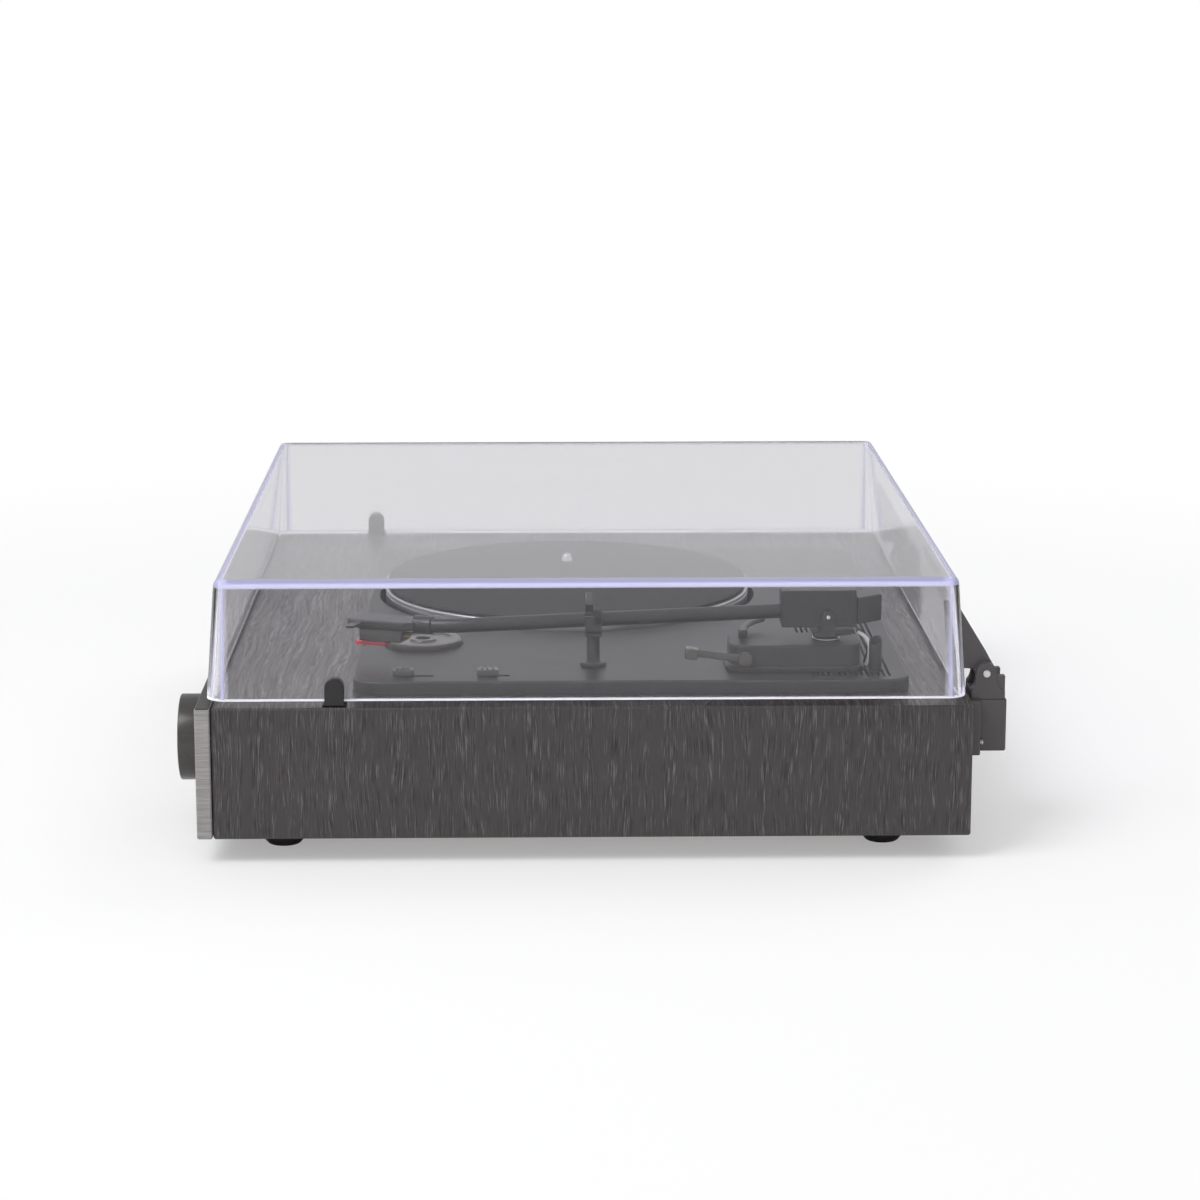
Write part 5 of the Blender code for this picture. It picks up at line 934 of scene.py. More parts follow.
@dataclass
class Deck:
    """The moulded deck plate with its well, recess, slots and ribs, and what sits on it."""

    left: float = -125.5
    right: float = 186.0
    front: float = -113.5
    rear: float = 151.0
    under: float = 75.3
    top: float = 82.0
    corner: float = 13.0
    edge: float = 1.2
    well: tuple = (-22.0, -10.0)
    well_radius: float = 99.5
    well_floor: float = 71.0
    pan_radius: float = 102.0
    pan_under: float = 68.5
    bearing_radius: float = 7.3
    motor: tuple = (-87.532, -55.886)
    shaft_radius: float = 4.5
    rib_count: int = 15
    rib_pitch: float = 2.6
    rib_width: float = 1.2
    rib_depth: float = 3.2
    rib_left: float = -30.0
    rib_right: float = 178.0
    rib_rear: float = 142.0
    adapter: tuple = (103.0, -82.5)
    recess: float = 19.65
    switch_x: float = 174.0
    slots: tuple = ((-91.8, -75.2), (-51.8, -39.2))

    def pit(
        self, outline: Outline, top: float, floor: float, edge: float, caps: bool
    ) -> tuple[Shape, Array, Array]:
        """The wall of an opening in a flat face.

        Args:
            outline: the opening in plan.
            top: the flat face's height.
            floor: the opening's lowest height.
            edge: the radius at its mouth.
            caps: whether a flat floor closes it.

        Returns:
            The surface, and its lines at the mouth and at the floor.
        """
        line = [(-edge - COLLAR / 3, top), (0, top), (0, floor), (edge + COLLAR / 3, floor)]
        rings = prism(outline, soften(line, [0, edge, edge / 2, 0], 4, closed=False))
        return skin(rings, caps=(False, caps)), rings[0, :, :2], rings[-1, :, :2]

    def build(self) -> None:
        """Joins the plate's faces, rim, pan and pits into one closed moulding."""
        line = [(0.9, self.under), (0, self.under), (0, self.top), (self.edge + 0.4, self.top)]
        rim = soften(line, [0, 0.4, self.edge, 0], 8, closed=False)
        plan = box_outline((self.left, self.right), (self.front, self.rear), self.corner, 16)
        rings = prism(plan, rim)
        parts, mouths = [skin(rings, caps=(False, False))], []
        ribs = (self.rib_rear - np.arange(self.rib_count) * self.rib_pitch).tolist()
        run, deep, x = (self.rib_left, self.rib_right), self.rib_depth, self.switch_x
        pits = [
            *((box_outline(run, (y - self.rib_width, y), 0.25), deep, 0.15) for y in ribs),
            (circle(self.adapter, self.recess), 2.0, 0.3),
            *((box_outline((x - 1.5, x + 1.5), slot, 0.3), 4.5, 0.2) for slot in self.slots),
        ]
        for outline, depth, edge in pits:
            shape, mouth, _ = self.pit(outline, self.top, self.top - depth, edge, True)
            parts.append(shape)
            mouths.append(mouth)
        well = circle(self.well, self.well_radius, 192)
        shape, mouth, floor = self.pit(well, self.top, self.well_floor, 0.6, False)
        parts += [shape, pierced(rings[-1, :, :2], [*mouths, mouth], self.top)]
        above, below = [], []
        for centre, radius in ((self.well, self.bearing_radius), (self.motor, self.shaft_radius)):
            hole = circle(centre, radius, 48)
            shape, upper, lower = self.pit(hole, self.well_floor, self.pan_under, 0.2, False)
            parts.append(shape)
            above.append(upper)
            below.append(lower)
        side = wall(self.pan_under, self.under, 0.4, 0.05)[:-2]
        pan = prism(circle(self.well, self.pan_radius, 192), side)
        parts += [
            pierced(floor, above, self.well_floor),
            skin(pan, caps=(False, False)),
            pierced(pan[0, :, :2], below, self.pan_under),
            pierced(rings[0, :, :2], [pan[-1, :, :2]], self.under),
        ]
        piece("deck_moulding", DECK_PLASTIC, Body.CASE, "deck_plate", *parts, weld=True)
        self.adapter_ring()
        self.switches()

    def adapter_ring(self) -> None:
        """The large-hole adapter: a stepped ring in its recess."""
        line = [
            (3.7, 80.3), (19.05, 80.3), (19.05, 84.8), (15.0, 84.8), (14.2, 83.9), (7.2, 83.9),
            (6.6, 84.8), (3.7, 84.8),
        ]
        ring = turned(line, [0.2, 0.3, 0.8, 0.3, 0.3, 0.3, 0.3, 0.3], 96, 4, ring=True)
        ring = ring.placed((*self.adapter, 0))
        piece("adapter_ring", SATIN_BLACK, Body.CASE, "adapter_45", ring)

    def switches(self) -> None:
        """Slider caps with three grip ribs across them."""
        x = self.switch_x
        for word, y, body in (("speed", -89.5, Body.SPEED), ("auto_stop", -49.5, Body.STOP)):
            cap = block((x - 3.25, x + 3.25), (y - 5, y + 5), (82.3, 85.5), 0.8, 0.5)
            stem = block((x - 1.2, x + 1.2), (y - 2, y + 2), (77.0, 83.0), 0.2, 0.1)
            grips = [
                block((x - 2.8, x + 2.8), (at - 0.45, at + 0.45), (85.0, 86.3), 0.3, 0.3)
                for at in (y - 2.6, y, y + 2.6)
            ]
            piece(word + "_slider", SATIN_BLACK, body, word + "_switch", cap, stem, *grips)


@dataclass
class Platter:
    """The cast platter, the slip mat and the spindle."""

    centre: tuple = (-22.0, -10.0, 0.0)
    radius: float = 96.5
    top: float = 86.5
    under: float = 83.2
    low: float = 73.8
    bore: float = 3.3
    ring_radius: float = 58.0
    hub_radius: float = 12.0
    rib: float = 2.0
    mat_radius: float = 95.0
    mat_low: float = 86.8
    mat_top: float = 88.3

    def build(self) -> None:
        """Turns the three pieces on the spindle's axis."""
        bore, hub, ring, rim = self.bore, self.hub_radius, self.ring_radius, self.radius
        low, under, top = self.low, self.under, self.top
        line = [
            (bore, top), (bore, low), (hub, low), (hub, under), (ring - self.rib, under),
            (ring - self.rib, low), (ring, low), (ring, under), (rim - self.rib, under),
            (rim - self.rib, low), (rim, low), (rim, top - 2.6), (rim - 0.5, top - 2.3),
            (rim, top - 2.0), (rim, top),
        ]
        radii = [0.2, 0.3, 0.3, 0.5, 0.5, 0.3, 0.3, 0.5, 0.5, 0.3, 0.5, 0.1, 0.1, 0.1, 0.8]
        disc = turned(line, radii, 192, 5, ring=True).placed(self.centre)
        piece("platter_casting", CAST_ALUMINIUM, Body.PLATTER, "platter", disc)
        far, low, top = self.mat_radius, self.mat_low, self.mat_top
        line = [(bore, low), (far, low), (far, top), (bore, top)]
        mat = turned(line, [0.1, 0.2, 0.6, 0.3], 192, 5, ring=True).placed(self.centre)
        piece("felt_mat", FELT, Body.PLATTER, "slip_mat", mat)
        line = [(0.15, 50.0), (3.0, 50.0), (3.0, 96.5), (1.9, 99.4), (0.15, 100.1)]
        pin = turned(line, [0, 0.3, 3.0, 1.2, 0], 64).placed(self.centre)
        piece("spindle_pin", POLISHED_STEEL, Body.PLATTER, "spindle", pin)


@dataclass
class ArmStand:
    """The raised platform that carries the arm, its bright ring and the fork above it."""

    x: float = ARM_X
    y: float = 113.0
    low: float = 82.3
    top: float = 94.8
    half: float = 15.0
    front: float = 66.0
    rear: float = 129.0
    flare: float = 1.8
    flare_height: float = 2.2
    pin_z: float = 107.6

    def build(self) -> None:
        """Builds the platform, the ring, the fork and the cross pin."""
        x, foot, step = self.x, -self.flare, self.low + self.flare_height
        plan = box_outline((x - self.half, x + self.half), (self.front, self.rear), 7.0, 10)
        line = [
            (COLLAR, self.low), (foot, self.low), (foot, step), (0, step), (0, self.top),
            (2.0, self.top),
        ]
        section = soften(line, [0, 0.2, 0.5, 0.5, 1.0, 0], closed=False)
        base = skin(prism(plan, section))
        piece("arm_platform", DECK_PLASTIC, Body.CASE, "tonearm_base", base)
        line = [(5.65, 95.1), (6.8, 95.1), (6.8, 96.0), (5.65, 96.0)]
        ring = turned(line, [0.1, 0.15, 0.35, 0.2], 96, 4, ring=True).placed((x, self.y, 0))
        piece("bearing_ring", POLISHED_STEEL, Body.CASE, "swivel_ring", ring)
        self.fork()

    def fork(self) -> None:
        """The fork: post, plate and two round-topped ears, with the cross pin through them."""
        x, y = self.x, self.y
        post = slab(circle((x, y), 5.35, 64), (85.8, 99.0))
        corners = [
            (x - 10.6, y - 7), (x + 10.6, y - 7), (x + 10.6, y + 3.15), (x + 5, y + 12.3),
            (x - 5, y + 12.3), (x - 10.6, y + 3.15),
        ]
        base = slab(Outline(corners, 0.8), (98.0, 100.2), (0.3, 0.4))
        crown = arc((y, self.pin_z), 3.15, 0, 180, 19)
        ear = Outline([*crown, (y - 3.15, 99.2), (y + 3.15, 99.2)], 0.0, 1)
        ears = [
            slab(ear, (low, low + 2.4), (0.35, 0.35), Facing.SIDE) for low in (x - 10.6, x + 8.2)
        ]
        piece("arm_fork", ARM_PLASTIC, Body.SWIVEL, "gimbal_yoke", post, base, *ears)
        ends = (x - 11.4, x + 11.4)
        pin = slab(circle((y, self.pin_z), 1.0, 32), ends, (0.25, 0.25), Facing.SIDE)
        piece("cross_pin", POLISHED_STEEL, Body.SWIVEL, "pivot_pin", pin)


@dataclass
class Arm:
    """The tonearm: housing on the cross pin, tube, headshell, cartridge and counterweight."""

    x: float = ARM_X
    half: float = 7.9
    front: float = 91.0
    rear: float = 126.7
    low: float = 102.0
    top: float = 120.0
    tube_radius: float = 3.5
    tube_rear: float = 97.0
    tube_tip: float = -76.0
    tube_bend: float = -58.0
    tube_z: float = 109.0
    tube_fall: float = 7.5
    yaw: float = -20.0
    shell_at: tuple = (150.922, -76.0, 101.5)

    def build(self) -> None:
        """Builds the arm from its rear to its tip."""
        self.housing()
        self.tube()
        self.headshell()

    def housing(self) -> None:
        """The box, with fine upright ribs near its rear, and the weight behind it."""
        x, low, top = self.x, self.low, self.top
        body = block((x - self.half, x + self.half), (self.front, self.rear), (low, top), 0.8, 0.8)
        ends = (self.rear - 2, self.rear + 6)
        stub = slab(circle((-x, 109.8), 2.2, 32), ends, facing=Facing.REAR)
        reach = (x - self.half - 0.15, x + self.half + 0.15)
        ribs = [
            block(reach, (at, at + 0.5), (low + 0.8, top - 1), 0.15, 0.15)
            for at in (120.6, 122.4, 124.2)
        ]
        piece("arm_housing", ARM_PLASTIC, Body.ARM, "arm_body", body, stub, *ribs)
        corners = [(x - 7.9, 127.0), (x + 7.9, 127.0), (x - 1.9, 139.8), (x - 17.7, 139.8)]
        weight = slab(Outline(corners, 0.8), (103.3, 116.3), (0.8, 0.8))
        piece("swept_weight", ARM_PLASTIC, Body.ARM, "counterweight", weight)

    def tube(self) -> None:
        """The tube: straight, then bent aside by the square of the share of the bend."""
        rear, bent, tip = self.tube_rear, self.tube_bend, self.tube_tip
        y = np.concatenate([np.linspace(rear, bent + 1, 24), np.linspace(bent, tip, 13)])
        share = np.clip((bent - y) / (bent - tip), 0, 1)
        z = self.tube_z - (rear - y) * self.tube_fall / (rear - tip)
        path = np.stack([self.x - 3.078 * share**2, y, z], -1)
        yaw = math.radians(self.yaw)
        ahead = np.array([math.sin(yaw), -math.cos(yaw), 0])
        path = np.concatenate([path, path[-1:] + 4.0 * ahead])
        tube = swept(path, self.tube_radius, (0, 0, 1), 48)
        piece("arm_tube", ARM_PLASTIC, Body.ARM, "tonearm_tube", tube)

    def at_tip(self, *shapes: Shape) -> list[Shape]:
        """Turns shapes by the headshell's yaw and moves them to the tube's end."""
        return [shape.tilted("Z", self.yaw).placed(self.shell_at) for shape in shapes]

    def headshell(self) -> None:
        """The headshell, cartridge and stylus, in a frame turned aside at the tube's end."""
        collar = slab(circle((0, 0), 4.4, 48), (0, 9.5), (0.5, 0.3), Facing.FRONT)
        corners = [
            (-6.5, -42.0), (6.5, -42.0), (8.5, -38.5), (8.5, -12.0), (6.0, -7.7), (-6.0, -7.7),
            (-8.5, -12.0), (-8.5, -38.5),
        ]
        plate = slab(Outline(corners, 1.2), (-2.0, 2.0), (0.8, 0.8))
        tab = block((6.5, 19.5), (-38.0, -33.5), (0.0, 1.2), 2.0, 0.4)
        shapes = self.at_tip(collar, plate, tab)
        piece("headshell_moulding", ARM_PLASTIC, Body.ARM, "headshell", *shapes)
        cell = block((-6.75, 6.75), (-36.0, -14.0), (-8.5, -2.3), 0.8, 0.7)
        piece("pickup_cell", SATIN_BLACK, Body.ARM, "cartridge", *self.at_tip(cell))
        pins = [
            slab(circle((x, -5.4), 0.5, 16), (13.5, 16.5), (0.1, 0.15), Facing.FRONT)
            for x in (-3.6, -1.2, 1.2, 3.6)
        ]
        pins = self.at_tip(*(pin.placed((0, 2.5, 0)) for pin in pins))
        piece("pickup_pins", BRASS, Body.ARM, "", *pins)
        body = block((-4.5, 4.5), (-39.0, -23.0), (-11.0, -8.8), 1.0, 0.5)
        line = [(0.15, -12.8), (0.25, -12.8), (0.6, -11.9), (0.6, -9.9), (0.15, -9.9)]
        needle = skin(lathe(np.array(line), 16)).placed((0, -36.0, 0))
        piece("stylus_body", STYLUS_RED, Body.ARM, "stylus", *self.at_tip(body, needle))


@dataclass
class ArmRest:
    """The rest that the arm lies in, its folding clip, and the cueing lift with its lever."""

    x: float = ARM_X
    y: float = 1.0
    floor: float = 100.9
    clip: tuple = (160.2, 110.138)
    clip_turn: float = 150.0
    pivot: tuple = (ARM_X, 113.0)
    lift_at: tuple = (148.433, 73.389)
    lever_at: tuple = (171.1, 73.0, 89.1)
    lever_tilt: float = -8.0

    def build(self) -> None:
        """Builds the rest, the clip, the lift's bar and the lever."""
        x, y, floor = self.x, self.y, self.floor
        cx, cz = self.clip
        line = [(0.2, 82.3), (6.2, 82.3), (6.2, 84.1), (3.2, 84.1), (3.2, 99.0), (0.2, 99.0)]
        ear = Outline([*arc(self.clip, 1.5, 0, 180, 17), (cx - 1.5, 104), (cx + 1.5, 104)], 0, 1)
        shapes = [
            turned(line, [0, 0.2, 0.6, 1.2, 0.1, 0], 48).placed((x, y, 0)),
            block((x - 3.5, x + 7.7), (y - 4, y + 4), (97.9, floor), 0.6, 0.4),
            block((x + 4.7, x + 7.7), (y - 4, y + 4), (99.0, 107.4), 0.6, 0.4),
            slab(ear, (-5.0, -1.3), facing=Facing.FRONT),
            slab(circle(self.clip, 1.0, 24), (-1.4, 3.0), (0.1, 0.15), Facing.FRONT),
        ]
        piece("rest_moulding", DECK_PLASTIC, Body.CASE, "arm_rest", *shapes)
        self.folding_clip(cx, cz)
        self.lift()

    def folding_clip(self, x: float, z: float) -> None:
        """The clip: hub, strap and lip, drawn closed and turned back about the hub."""
        line = [(1.3, 0.0), (2.4, 0.0), (2.4, 3.7), (1.3, 3.7)]
        hub = turned(line, 0.25, 48, 4, ring=True).placed((0, 0.7, 0), Facing.FRONT)
        strap = block((-12.5, -1.3), (-3.0, 0.7), (-1.0, 1.0), 0.4, 0.35)
        lip = block((-12.5, -11.3), (-3.0, 0.7), (-5.8, 0.6), 0.4, 0.3)
        shapes = [s.tilted("Y", self.clip_turn).placed((x, 0, z)) for s in (hub, strap, lip)]
        piece("clip_moulding", SATIN_BLACK, Body.CLIP, "arm_clip", *shapes)

    def lift(self) -> None:
        """The curved bar on its stem, and the lever on the platform's side."""
        sides = arc(self.pivot, 41.5, 226.0, 274.0, 33), arc(self.pivot, 38.5, 274.0, 226.0, 33)
        bar = slab(Outline(np.concatenate(sides), 0, 1), (97.5, 99.7), (0.5, 0.7))
        stem = slab(circle(self.lift_at, 2.2, 48), (86.3, 98.5))
        piece("lift_bar", ARM_PLASTIC, Body.LIFT, "cue_lift", bar, stem)
        shapes = (
            slab(circle((0, 0), 3.6, 64), (0, 3.0), (0.3, 0.5), Facing.SIDE),
            slab(circle((0, 0), 1.2, 24), (-7.5, 1.0), facing=Facing.SIDE),
            block((0.75, 2.25), (-26.0, 0.0), (-1.8, 1.8), 0.4, 0.35),
            block((0.0, 7.0), (-29.0, -23.0), (-2.55, 2.55), 0.8, 0.7),
        )
        shapes = [s.tilted("X", self.lever_tilt).placed(self.lever_at) for s in shapes]
        piece("lift_lever", SATIN_BLACK, Body.LEVER, "cue_lever", *shapes)


@dataclass
class DeckTrim:
    """The hollow post with its slanted mouth, and the three leads behind the arm."""

    post: tuple = (167.5, 135.5)
    radius: float = 3.1
    bore: float = 2.4
    low: float = 82.3
    floor: float = 86.4
    mouth: float = 96.8
    drop: float = 4.0
    turn: float = -22.5
    lead_radius: float = 0.9
    lead_gap: float = 3.1

    def build(self) -> None:
        """Builds the post and the leads."""
        line = [
            (self.bore, self.floor), (self.bore, self.mouth), (self.radius, self.mouth),
            (self.radius, self.low), (0.3, self.low), (0.3, self.floor),
        ]
        tube = turned(line, [0.1, 0.2, 0.2, 0.3, 0.05, 0.05], 64, 4, ring=True)
        turn = math.radians(self.turn)
        fall = np.array([math.cos(turn), math.sin(turn)])
        raised = tube.points[:, 2] > self.mouth - 1.5
        tube.points[raised, 2] -= (tube.points[raised, :2] @ fall) * self.drop / (2 * self.radius)
        tube = tube.placed((*self.post, 0))
        piece("slant_post", DECK_PLASTIC, Body.CASE, "hollow_post", tube)
        bend = curve((127.8, 98.8), (137.0, 94.8), (132.0, 82.4), 25)
        # The right lead is drawn white as a painted highlight; the other two are dark.
        for word, side, finish in (
            ("left", -1, ARM_PLASTIC), ("middle", 0, ARM_PLASTIC), ("right", 1, WHITE_LEAD_HIGHLIGHT),
        ):
            x = np.full((len(bend), 1), ARM_X + side * self.lead_gap)
            lead = swept(np.concatenate([x, bend], -1), self.lead_radius, (1, 0, 0))
            piece("lead_sleeve_" + word, finish, Body.CASE, "lead_" + word, lead)


@dataclass
class DustCover:
    """The clear cover: an open shell that widens towards its rim, a rubber clip on each side."""

    half_x: float = 206.0
    front: float = -180.5
    rear: float = 175.1
    rim: float = 77.3
    top: float = 134.0
    draft: float = 4.3
    wall: float = 3.0
    corner: float = 9.0
    edge: float = 3.5
    inner_edge: float = 1.2
    steps: int = 20
    rounds: int = 10
    # Where and how strongly glow and highlights are painted into the cover's colour: their reach at
    # the rim, the top edge and the corners, their shares, and the places and widths of the violet
    # glow and white highlight bells.
    painted_rim_glow: float = 0.6
    painted_lip_glow: float = 0.7
    painted_corner_glow: float = 2.0
    lip_share: float = 0.65
    corner_share: float = 0.6
    painted_violet_at: tuple = (0.1, 0.9)
    painted_violet_width: float = 0.1
    painted_white_at: tuple = (0.36, 0.64)
    painted_white_width: float = 0.06
    painted_edge_tint: str = "a9a9ea"
    bumper_y: float = -120.5
    bumper_half: float = 4.5
    bumper_low: float = 75.3
    bumper_top: float = 88.3

    def build(self) -> None:
        """One skin goes up the outside, over the top edge, and back down the inside.

        Each of a ring's four corners gets a point on either side of its arc, where its painted glow
        ends.
        """
        x, y = (-self.half_x, self.half_x), (self.front, self.rear)
        up = self.side_line(0.0, self.edge)
        down = self.side_line(self.wall, self.inner_edge)
        section = np.concatenate([up[::-1], down[1:]])
        rings = prism(box_outline(x, y, self.corner, self.steps), section)
        rings = rings.reshape(len(rings), 4, self.steps, 3)
        run = np.roll(rings, -1, 1)[:, :, :1] - rings[:, :, -1:]
        run *= self.painted_corner_glow / np.linalg.norm(run, axis=-1, keepdims=True)
        rings = [rings[:, :, :1] - np.roll(run, 1, 1), rings, rings[:, :, -1:] + run]
        rings = np.concatenate(rings, 2).reshape(len(section), -1, 3)
        glow = self.painted_edge_light(len(up), len(rings))
        cover = skin(rings)
        piece("clear_cover", ACRYLIC, Body.COVER, "dust_cover", cover, sharp=40, glow=glow)
        self.bumpers()

    def side_line(self, inset: float, edge: float) -> Array:
        """One side of the wall's section, from the rim's middle to the top.

        Args:
            inset: how far it lies inside the outer face.
            edge: the radius of its top edge.

        Returns:
            Its points: the middle, ten round the rim, one above them, one below the top edge, ten
            round that, and two on the top.
        """
        rise = self.top - inset
        far = self.edge + self.draft + self.wall + 1.0
        line = [(self.wall / 2, self.rim), (inset, self.rim)]
        line += [(inset + self.draft, rise), (far, rise)]
        line = soften(line, [0, 0.4, edge, 0], self.rounds, closed=False)
        foot, head = line[self.rounds], line[self.rounds + 1]
        up = (head - foot) / (rise - self.rim)
        guards = [foot + up * self.painted_rim_glow, head - up * self.painted_lip_glow]
        line = np.insert(line, [self.rounds + 1] * 2, guards, axis=0)
        return np.insert(line, -1, line[-2] + (self.painted_lip_glow, 0), axis=0)

    def painted_edge_light(self, half: int, count: int) -> Array:
        """The glow and highlights painted at the rim, the top edge and the corners.

        A ring's share is 1 within the rounded edges and 0 on flat faces. Round a corner, the share
        is a sum of bells exp(-((a - centre) / width)^2) over the arc's share a: painted violet glow
        where the arc meets the walls, painted white highlights between them. The rim and the inner
        lip are painted white.

        Args:
            half: the number of rings on the outer side.
            count: the number of rings.

        Returns:
            Red, green, blue and share at each point.
        """
        number = np.abs(np.arange(count) - (half - 1))
        outer = np.arange(count) < half
        rim = (number <= self.rounds).astype(float)
        lip = ((number >= self.rounds + 3) & (number <= 2 * self.rounds + 2)).astype(float)
        a = np.linspace(0, 1, self.steps)
        violet = sum(np.exp(-(((a - at) / self.painted_violet_width) ** 2)) for at in self.painted_violet_at)
        white = 0.5 * sum(np.exp(-(((a - at) / self.painted_white_width) ** 2)) for at in self.painted_white_at)
        violet, white = (np.tile(np.pad(bell, 1), 4)[None, :] for bell in (violet, white))
        corner = np.maximum(violet, white) * (number < half - 1)[:, None]
        edges = np.maximum(rim, lip * self.lip_share)[:, None]
        share = np.maximum(corner * self.corner_share, edges)
        # Pale points take a painted white highlight, the others a painted violet glow.
        pale = (white > violet) & (lip < 0.5)[:, None]
        pale = pale | ((rim > 0) | ((lip > 0) & ~outer))[:, None]
        colour = np.where(pale[..., None], linear("ffffff")[:3], linear(self.painted_edge_tint)[:3])
        return np.concatenate([colour, share[..., None]], -1).reshape(-1, 4)

    def bumpers(self) -> None:
        """Arched rubber clips with a flared foot on the rim of both sides."""
        y, half, low = self.bumper_y, self.bumper_half, self.bumper_low
        crown = arc((y, self.bumper_top - half), half, 0, 180, 25)
        foot = [(y - half - 1.2, low), (y + half + 1.2, low), (y + half, low + 1.8)]
        arch = Outline([*foot, *crown, (y - half, low + 1.8)], 0, 1)
        for word, side in SIDES:
            span = sorted((side * 200.1, side * 207.9))
            clip = slab(arch, span, (0.6, 0.6), Facing.SIDE)
            piece("bumper_clip_" + word, RUBBER, Body.COVER, "cover_bumper_" + word, clip)


@dataclass
class Hinges:
    """The cover's two hinges: housing on the plinth, leaf on the cover, pin and screws."""

    x: float = 155.0
    face: float = 177.8
    flange: float = 186.8
    rear: float = 199.5
    low: float = 40.2
    shelf: float = 67.2
    saddle: float = 71.2
    axis: tuple = (189.5, 79.7)
    reach: float = 5.0
    ear_front: float = 182.4
    leaf_half: float = 5.7
    screw_x: float = 13.0
    screw_z: float = 46.6

    def build(self) -> None:
        """Builds both hinges."""
        for word, side in SIDES:
            x = side * self.x
            self.housing(word, x)
            self.leaf(word, x)
            pin = slab(circle(self.axis, 1.8, 48), (x - 11.5, x + 11.5), facing=Facing.SIDE)
            piece("hinge_rod_" + word, ZINC_STEEL, Body.CASE, "hinge_pin_" + word, pin)
            self.screws(word, side)

    def housing(self, word: str, x: float) -> None:
        """Flange, deep housing, saddle and ears; the ears stand on either side of the leaf.

        An ear's flanks are bends of the second degree, hollow from the round top to the saddle.
        """
        y, z = self.axis
        r, low, shelf, saddle = self.reach, self.low, self.shelf, self.saddle
        deep = (182.2, self.rear - 0.9)
        shapes = [
            block((x - 15, x + 15), (self.face, self.flange), (low, shelf), 1.0, 0.8),
            block((x - 11, x + 11), (182.0, self.rear), (low + 1.2, shelf), 1.2, 1.0),
            block((x - 10.5, x + 10.5), deep, (shelf - 1, saddle), 0.8, 0.5),
        ]
        flank = curve((y + r, z - 0.5), (y + r - 0.2, 72.6), (y + 9.0, saddle), 12)
        mirror = flank * (-1, 1) + (2 * y, 0)
        mirror[:, 0] = np.maximum(mirror[:, 0], self.ear_front)
        foot = [(self.ear_front, shelf), (y + 9.0, shelf)]
        ear = Outline([*arc((y, z), r, 3, 177, 25), *mirror, *foot, *flank[::-1]], 0, 1)
        for start in (x - 11, x + 6):
            shapes.append(slab(ear, (start, start + 5), facing=Facing.SIDE))
            wing = (start + 0.4, start + 4.6), (y + 3.2, self.rear - 1.0), (saddle - 1, 78.6)
            shapes.append(block(*wing, 0.5, 0.5))
        piece("hinge_housing_" + word, HINGE_PLASTIC, Body.CASE, "hinge_socket_" + word, *shapes)

    def leaf(self, word: str, x: float) -> None:
        """The wedge on the cover's rear wall, which ends in the knuckle round the pin."""
        y, z = self.axis
        r, span = self.reach, (x - self.leaf_half, x + self.leaf_half)
        corners = [
            (175.1, 81.5), (y - 0.6 * r, z + 0.2 * r), (y + 0.9 * r, z + 0.3 * r), (y, z + 2 * r),
            (175.2, 113.0), (172.7, 113.0),
        ]
        wedge = Outline(corners, [0.3, 0.1, 0.6, 2.0, 0.6, 0.6])
        shapes = [
            slab(line, span, (0.4, 0.4), Facing.SIDE) for line in (wedge, circle((y, z), r, 64))
        ]
        piece("hinge_wedge_" + word, HINGE_PLASTIC, Body.COVER, "hinge_leaf_" + word, *shapes)

    def screws(self, word: str, side: int) -> None:
        """Countersunk heads on the flange's two lips; the outer one stands for the CAD screw."""
        line = [(0.15, -12.0), (0.9, -12.0), (0.9, 0.6), (1.6, 0.6), (1.6, 1.0), (0.15, 1.8)]
        head = turned(line, [0, 0.1, 0.05, 0.05, 0.5, 0], 32, 5)
        for where, step, node in (("outer", 1, "hinge_screw_" + word), ("inner", -1, "")):
            x = side * (self.x + step * self.screw_x)
            screw = head.placed((x, self.flange, self.screw_z), Facing.REAR)
            piece(f"lip_screw_{word}_{where}", ZINC_STEEL, Body.CASE, node, screw)


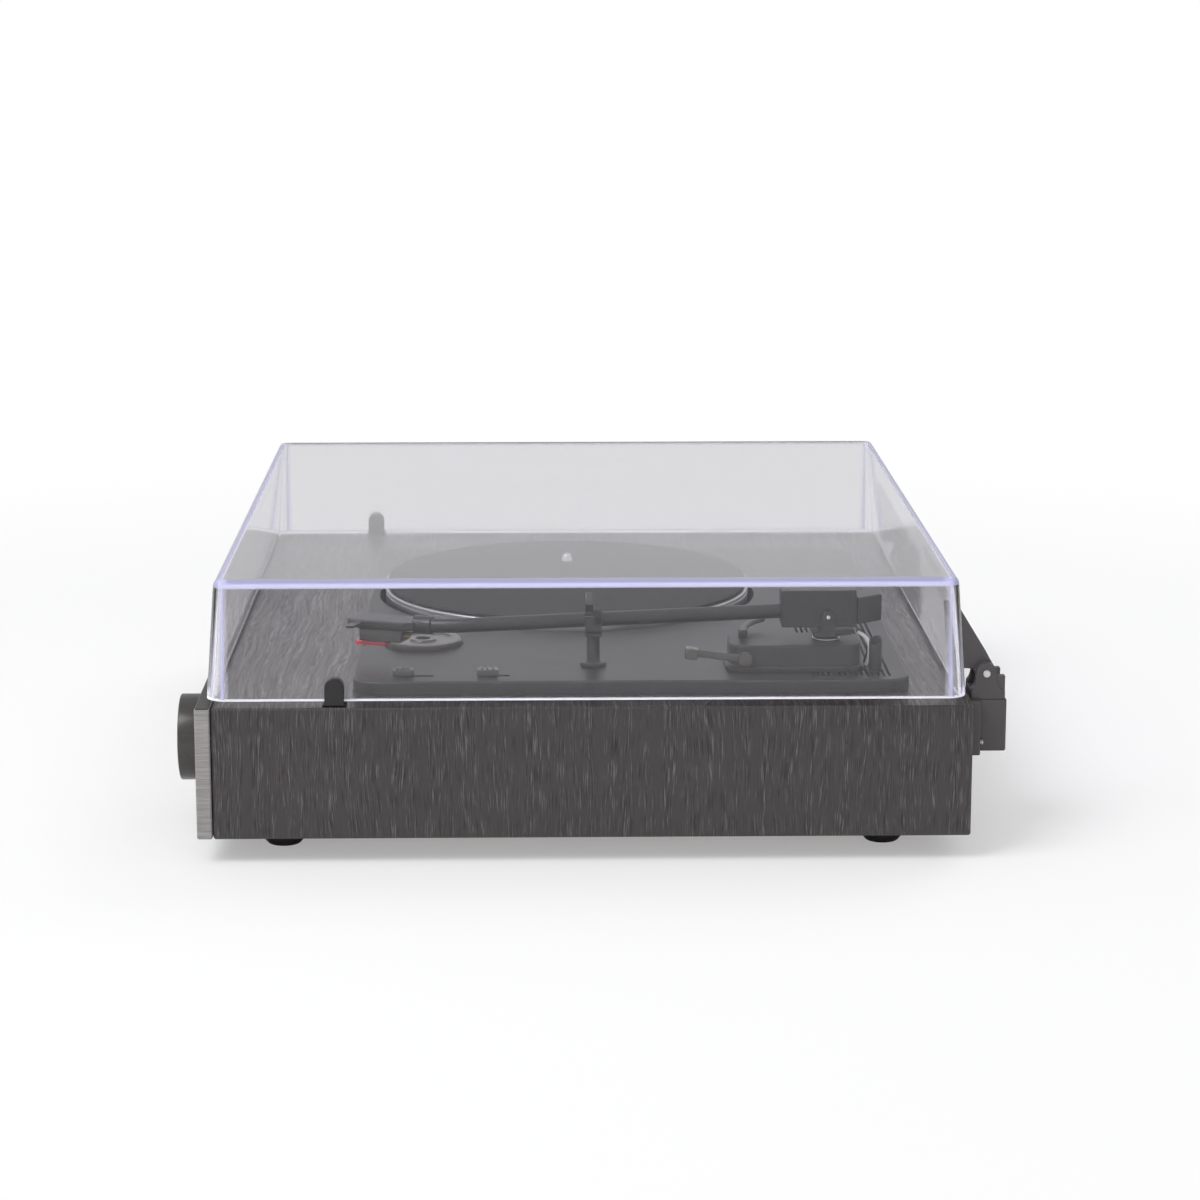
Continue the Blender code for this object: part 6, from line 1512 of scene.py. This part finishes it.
@dataclass
class Stage:
    """Pale floor, soft lamps and the camera at the photograph's angle, in metres."""

    eye: tuple = (1.6646, -0.0254, 0.4343)
    pan: float = 1.125
    tilt: float = 11.967
    lens: float = 96.6
    aim: tuple = (0.05, 0.0, 0.07)
    floor_half: float = 40.0
    fade_start: float = 0.3
    fade_end: float = 1.0
    shade: float = 0.33
    mirrored: float = 0.05
    sky: float = 0.6

    def build(self) -> None:
        """Sets up the whole stage."""
        self.camera()
        self.world()
        self.floor()
        self.lamp("key", (1.3, -1.5, 2.3), (1.6, 1.6), 10.5, 80.0)
        self.lamp("fill", (2.6, -0.2, 0.75), (2.2, 0.8), 1.45, 40.0, mirrored=False)
        self.lamp("rear", (-1.6, 1.4, 1.8), (1.4, 1.4), 10.0, 180.0, mirrored=False)
        bpy.context.scene.view_settings.view_transform = "Standard"

    def camera(self) -> None:
        """A long lens that looks down at the arm's side."""
        pan, tilt = math.radians(self.pan), math.radians(self.tilt)
        flat = math.cos(tilt)
        ahead = Vector((-flat * math.cos(pan), flat * math.sin(pan), -math.sin(tilt)))
        lens = bpy.data.cameras.new("camera")
        lens.lens, lens.sensor_width, lens.clip_end = self.lens, 36.0, 200.0
        eye = show("camera", lens)
        eye.location = self.eye
        eye.rotation_euler = ahead.to_track_quat("-Z", "Y").to_euler()
        bpy.context.scene.camera = eye

    def world(self) -> None:
        """A studio that is brightest overhead; straight looks see it white."""
        world = bpy.data.worlds.new("studio")
        tree = empty_tree(world)
        ray = add_node(tree, "TexCoord", out="Generated")
        height = add_node(tree, "SeparateXYZ", {0: ray}, "Z")
        stops = ((0.0, "f2f2f4"), (0.6, "ffffff"))
        tone = add_node(tree, "ValToRGB", {"Fac": height}, stops=stops)
        _, straight = straight_rays(tree)
        power = add_node(tree, "Mix", {0: straight, 2: self.sky, 3: 1.0})
        sky = add_node(tree, "Background", {"Color": tone, "Strength": power})
        add_node(tree, "OutputWorld", {"Surface": sky})
        bpy.context.scene.world = world

    def floor(self) -> None:
        """A white floor that keeps the shadow near the object and is plain white far away."""
        half = self.floor_half
        mesh = bpy.data.meshes.new("floor")
        corners = [(-half, -half, 0), (half, -half, 0), (half, half, 0), (-half, half, 0)]
        mesh.from_pydata(corners, [], [(0, 1, 2, 3)])
        material = bpy.data.materials.new("paper floor, matt white")
        tree = empty_tree(material)
        material.cycles.emission_sampling = "NONE"
        spot = add_node(tree, "TexCoord", out="Object")
        away = add_node(tree, "VectorMath", {0: spot}, "Value", operation="LENGTH")
        ends = {"From Min": self.fade_start, "From Max": self.fade_end, "To Min": self.shade}
        wanted = {"Value": away, **ends}
        fade = add_node(tree, "MapRange", wanted, interpolation_type="SMOOTHSTEP")
        ray, straight = straight_rays(tree)
        wanted = {0: ray["Is Glossy Ray"], 1: self.mirrored, 2: straight}
        seen = add_node(tree, "Math", wanted, operation="MULTIPLY_ADD", use_clamp=True)
        share = add_node(tree, "Math", {0: fade, 1: seen}, operation="MULTIPLY")
        paper = add_node(tree, "BsdfDiffuse", {"Color": linear("f4f4f5")})
        glow = add_node(tree, "Emission", {"Color": linear("ffffff"), "Strength": 1.0})
        mixed = add_node(tree, "MixShader", {0: share, 1: paper, 2: glow})
        add_node(tree, "OutputMaterial", {"Surface": mixed})
        mesh.materials.append(material)
        floor = show("floor", mesh)

    def lamp(
        self, name: str, at: tuple, size: tuple, power: float, spread: float, mirrored: bool = True
    ) -> None:
        """A soft box that looks at the object.

        Args:
            name: the lamp's name.
            at: where it hangs, in metres.
            size: its two sides.
            power: its power in watts.
            spread: the angle of its beam in degrees; a narrow one spares the floor in front.
            mirrored: whether glossy and clear surfaces show it.
        """
        light = bpy.data.lights.new(name, "AREA")
        light.shape, light.energy = "RECTANGLE", power
        light.size, light.size_y = size
        light.spread = math.radians(spread)
        lamp = show(name, light)
        lamp.location = at
        lamp.visible_glossy = lamp.visible_transmission = mirrored
        look = Vector(self.aim) - Vector(at)
        lamp.rotation_euler = look.to_track_quat("-Z", "Y").to_euler()


def corners(box: tuple) -> list[list[float]]:
    """A box's lowest and highest corners as plain lists."""
    return [[float(value) for value in corner] for corner in box]


def main() -> None:
    """Dresses the CAD nodes, and builds every sub-assembly and the stage."""
    logging.basicConfig(level=logging.INFO, format="%(name)s: %(message)s")
    dress_cad()
    for part in (
        Case(), VolumeControl(), Terminals(), Deck(), Platter(), ArmStand(), Arm(), ArmRest(),
        DeckTrim(), DustCover(), Hinges(), Stage(),
    ):
        part.build()
        LOG.info("%s is built", type(part).__name__)


if __name__ == "__main__":
    main()
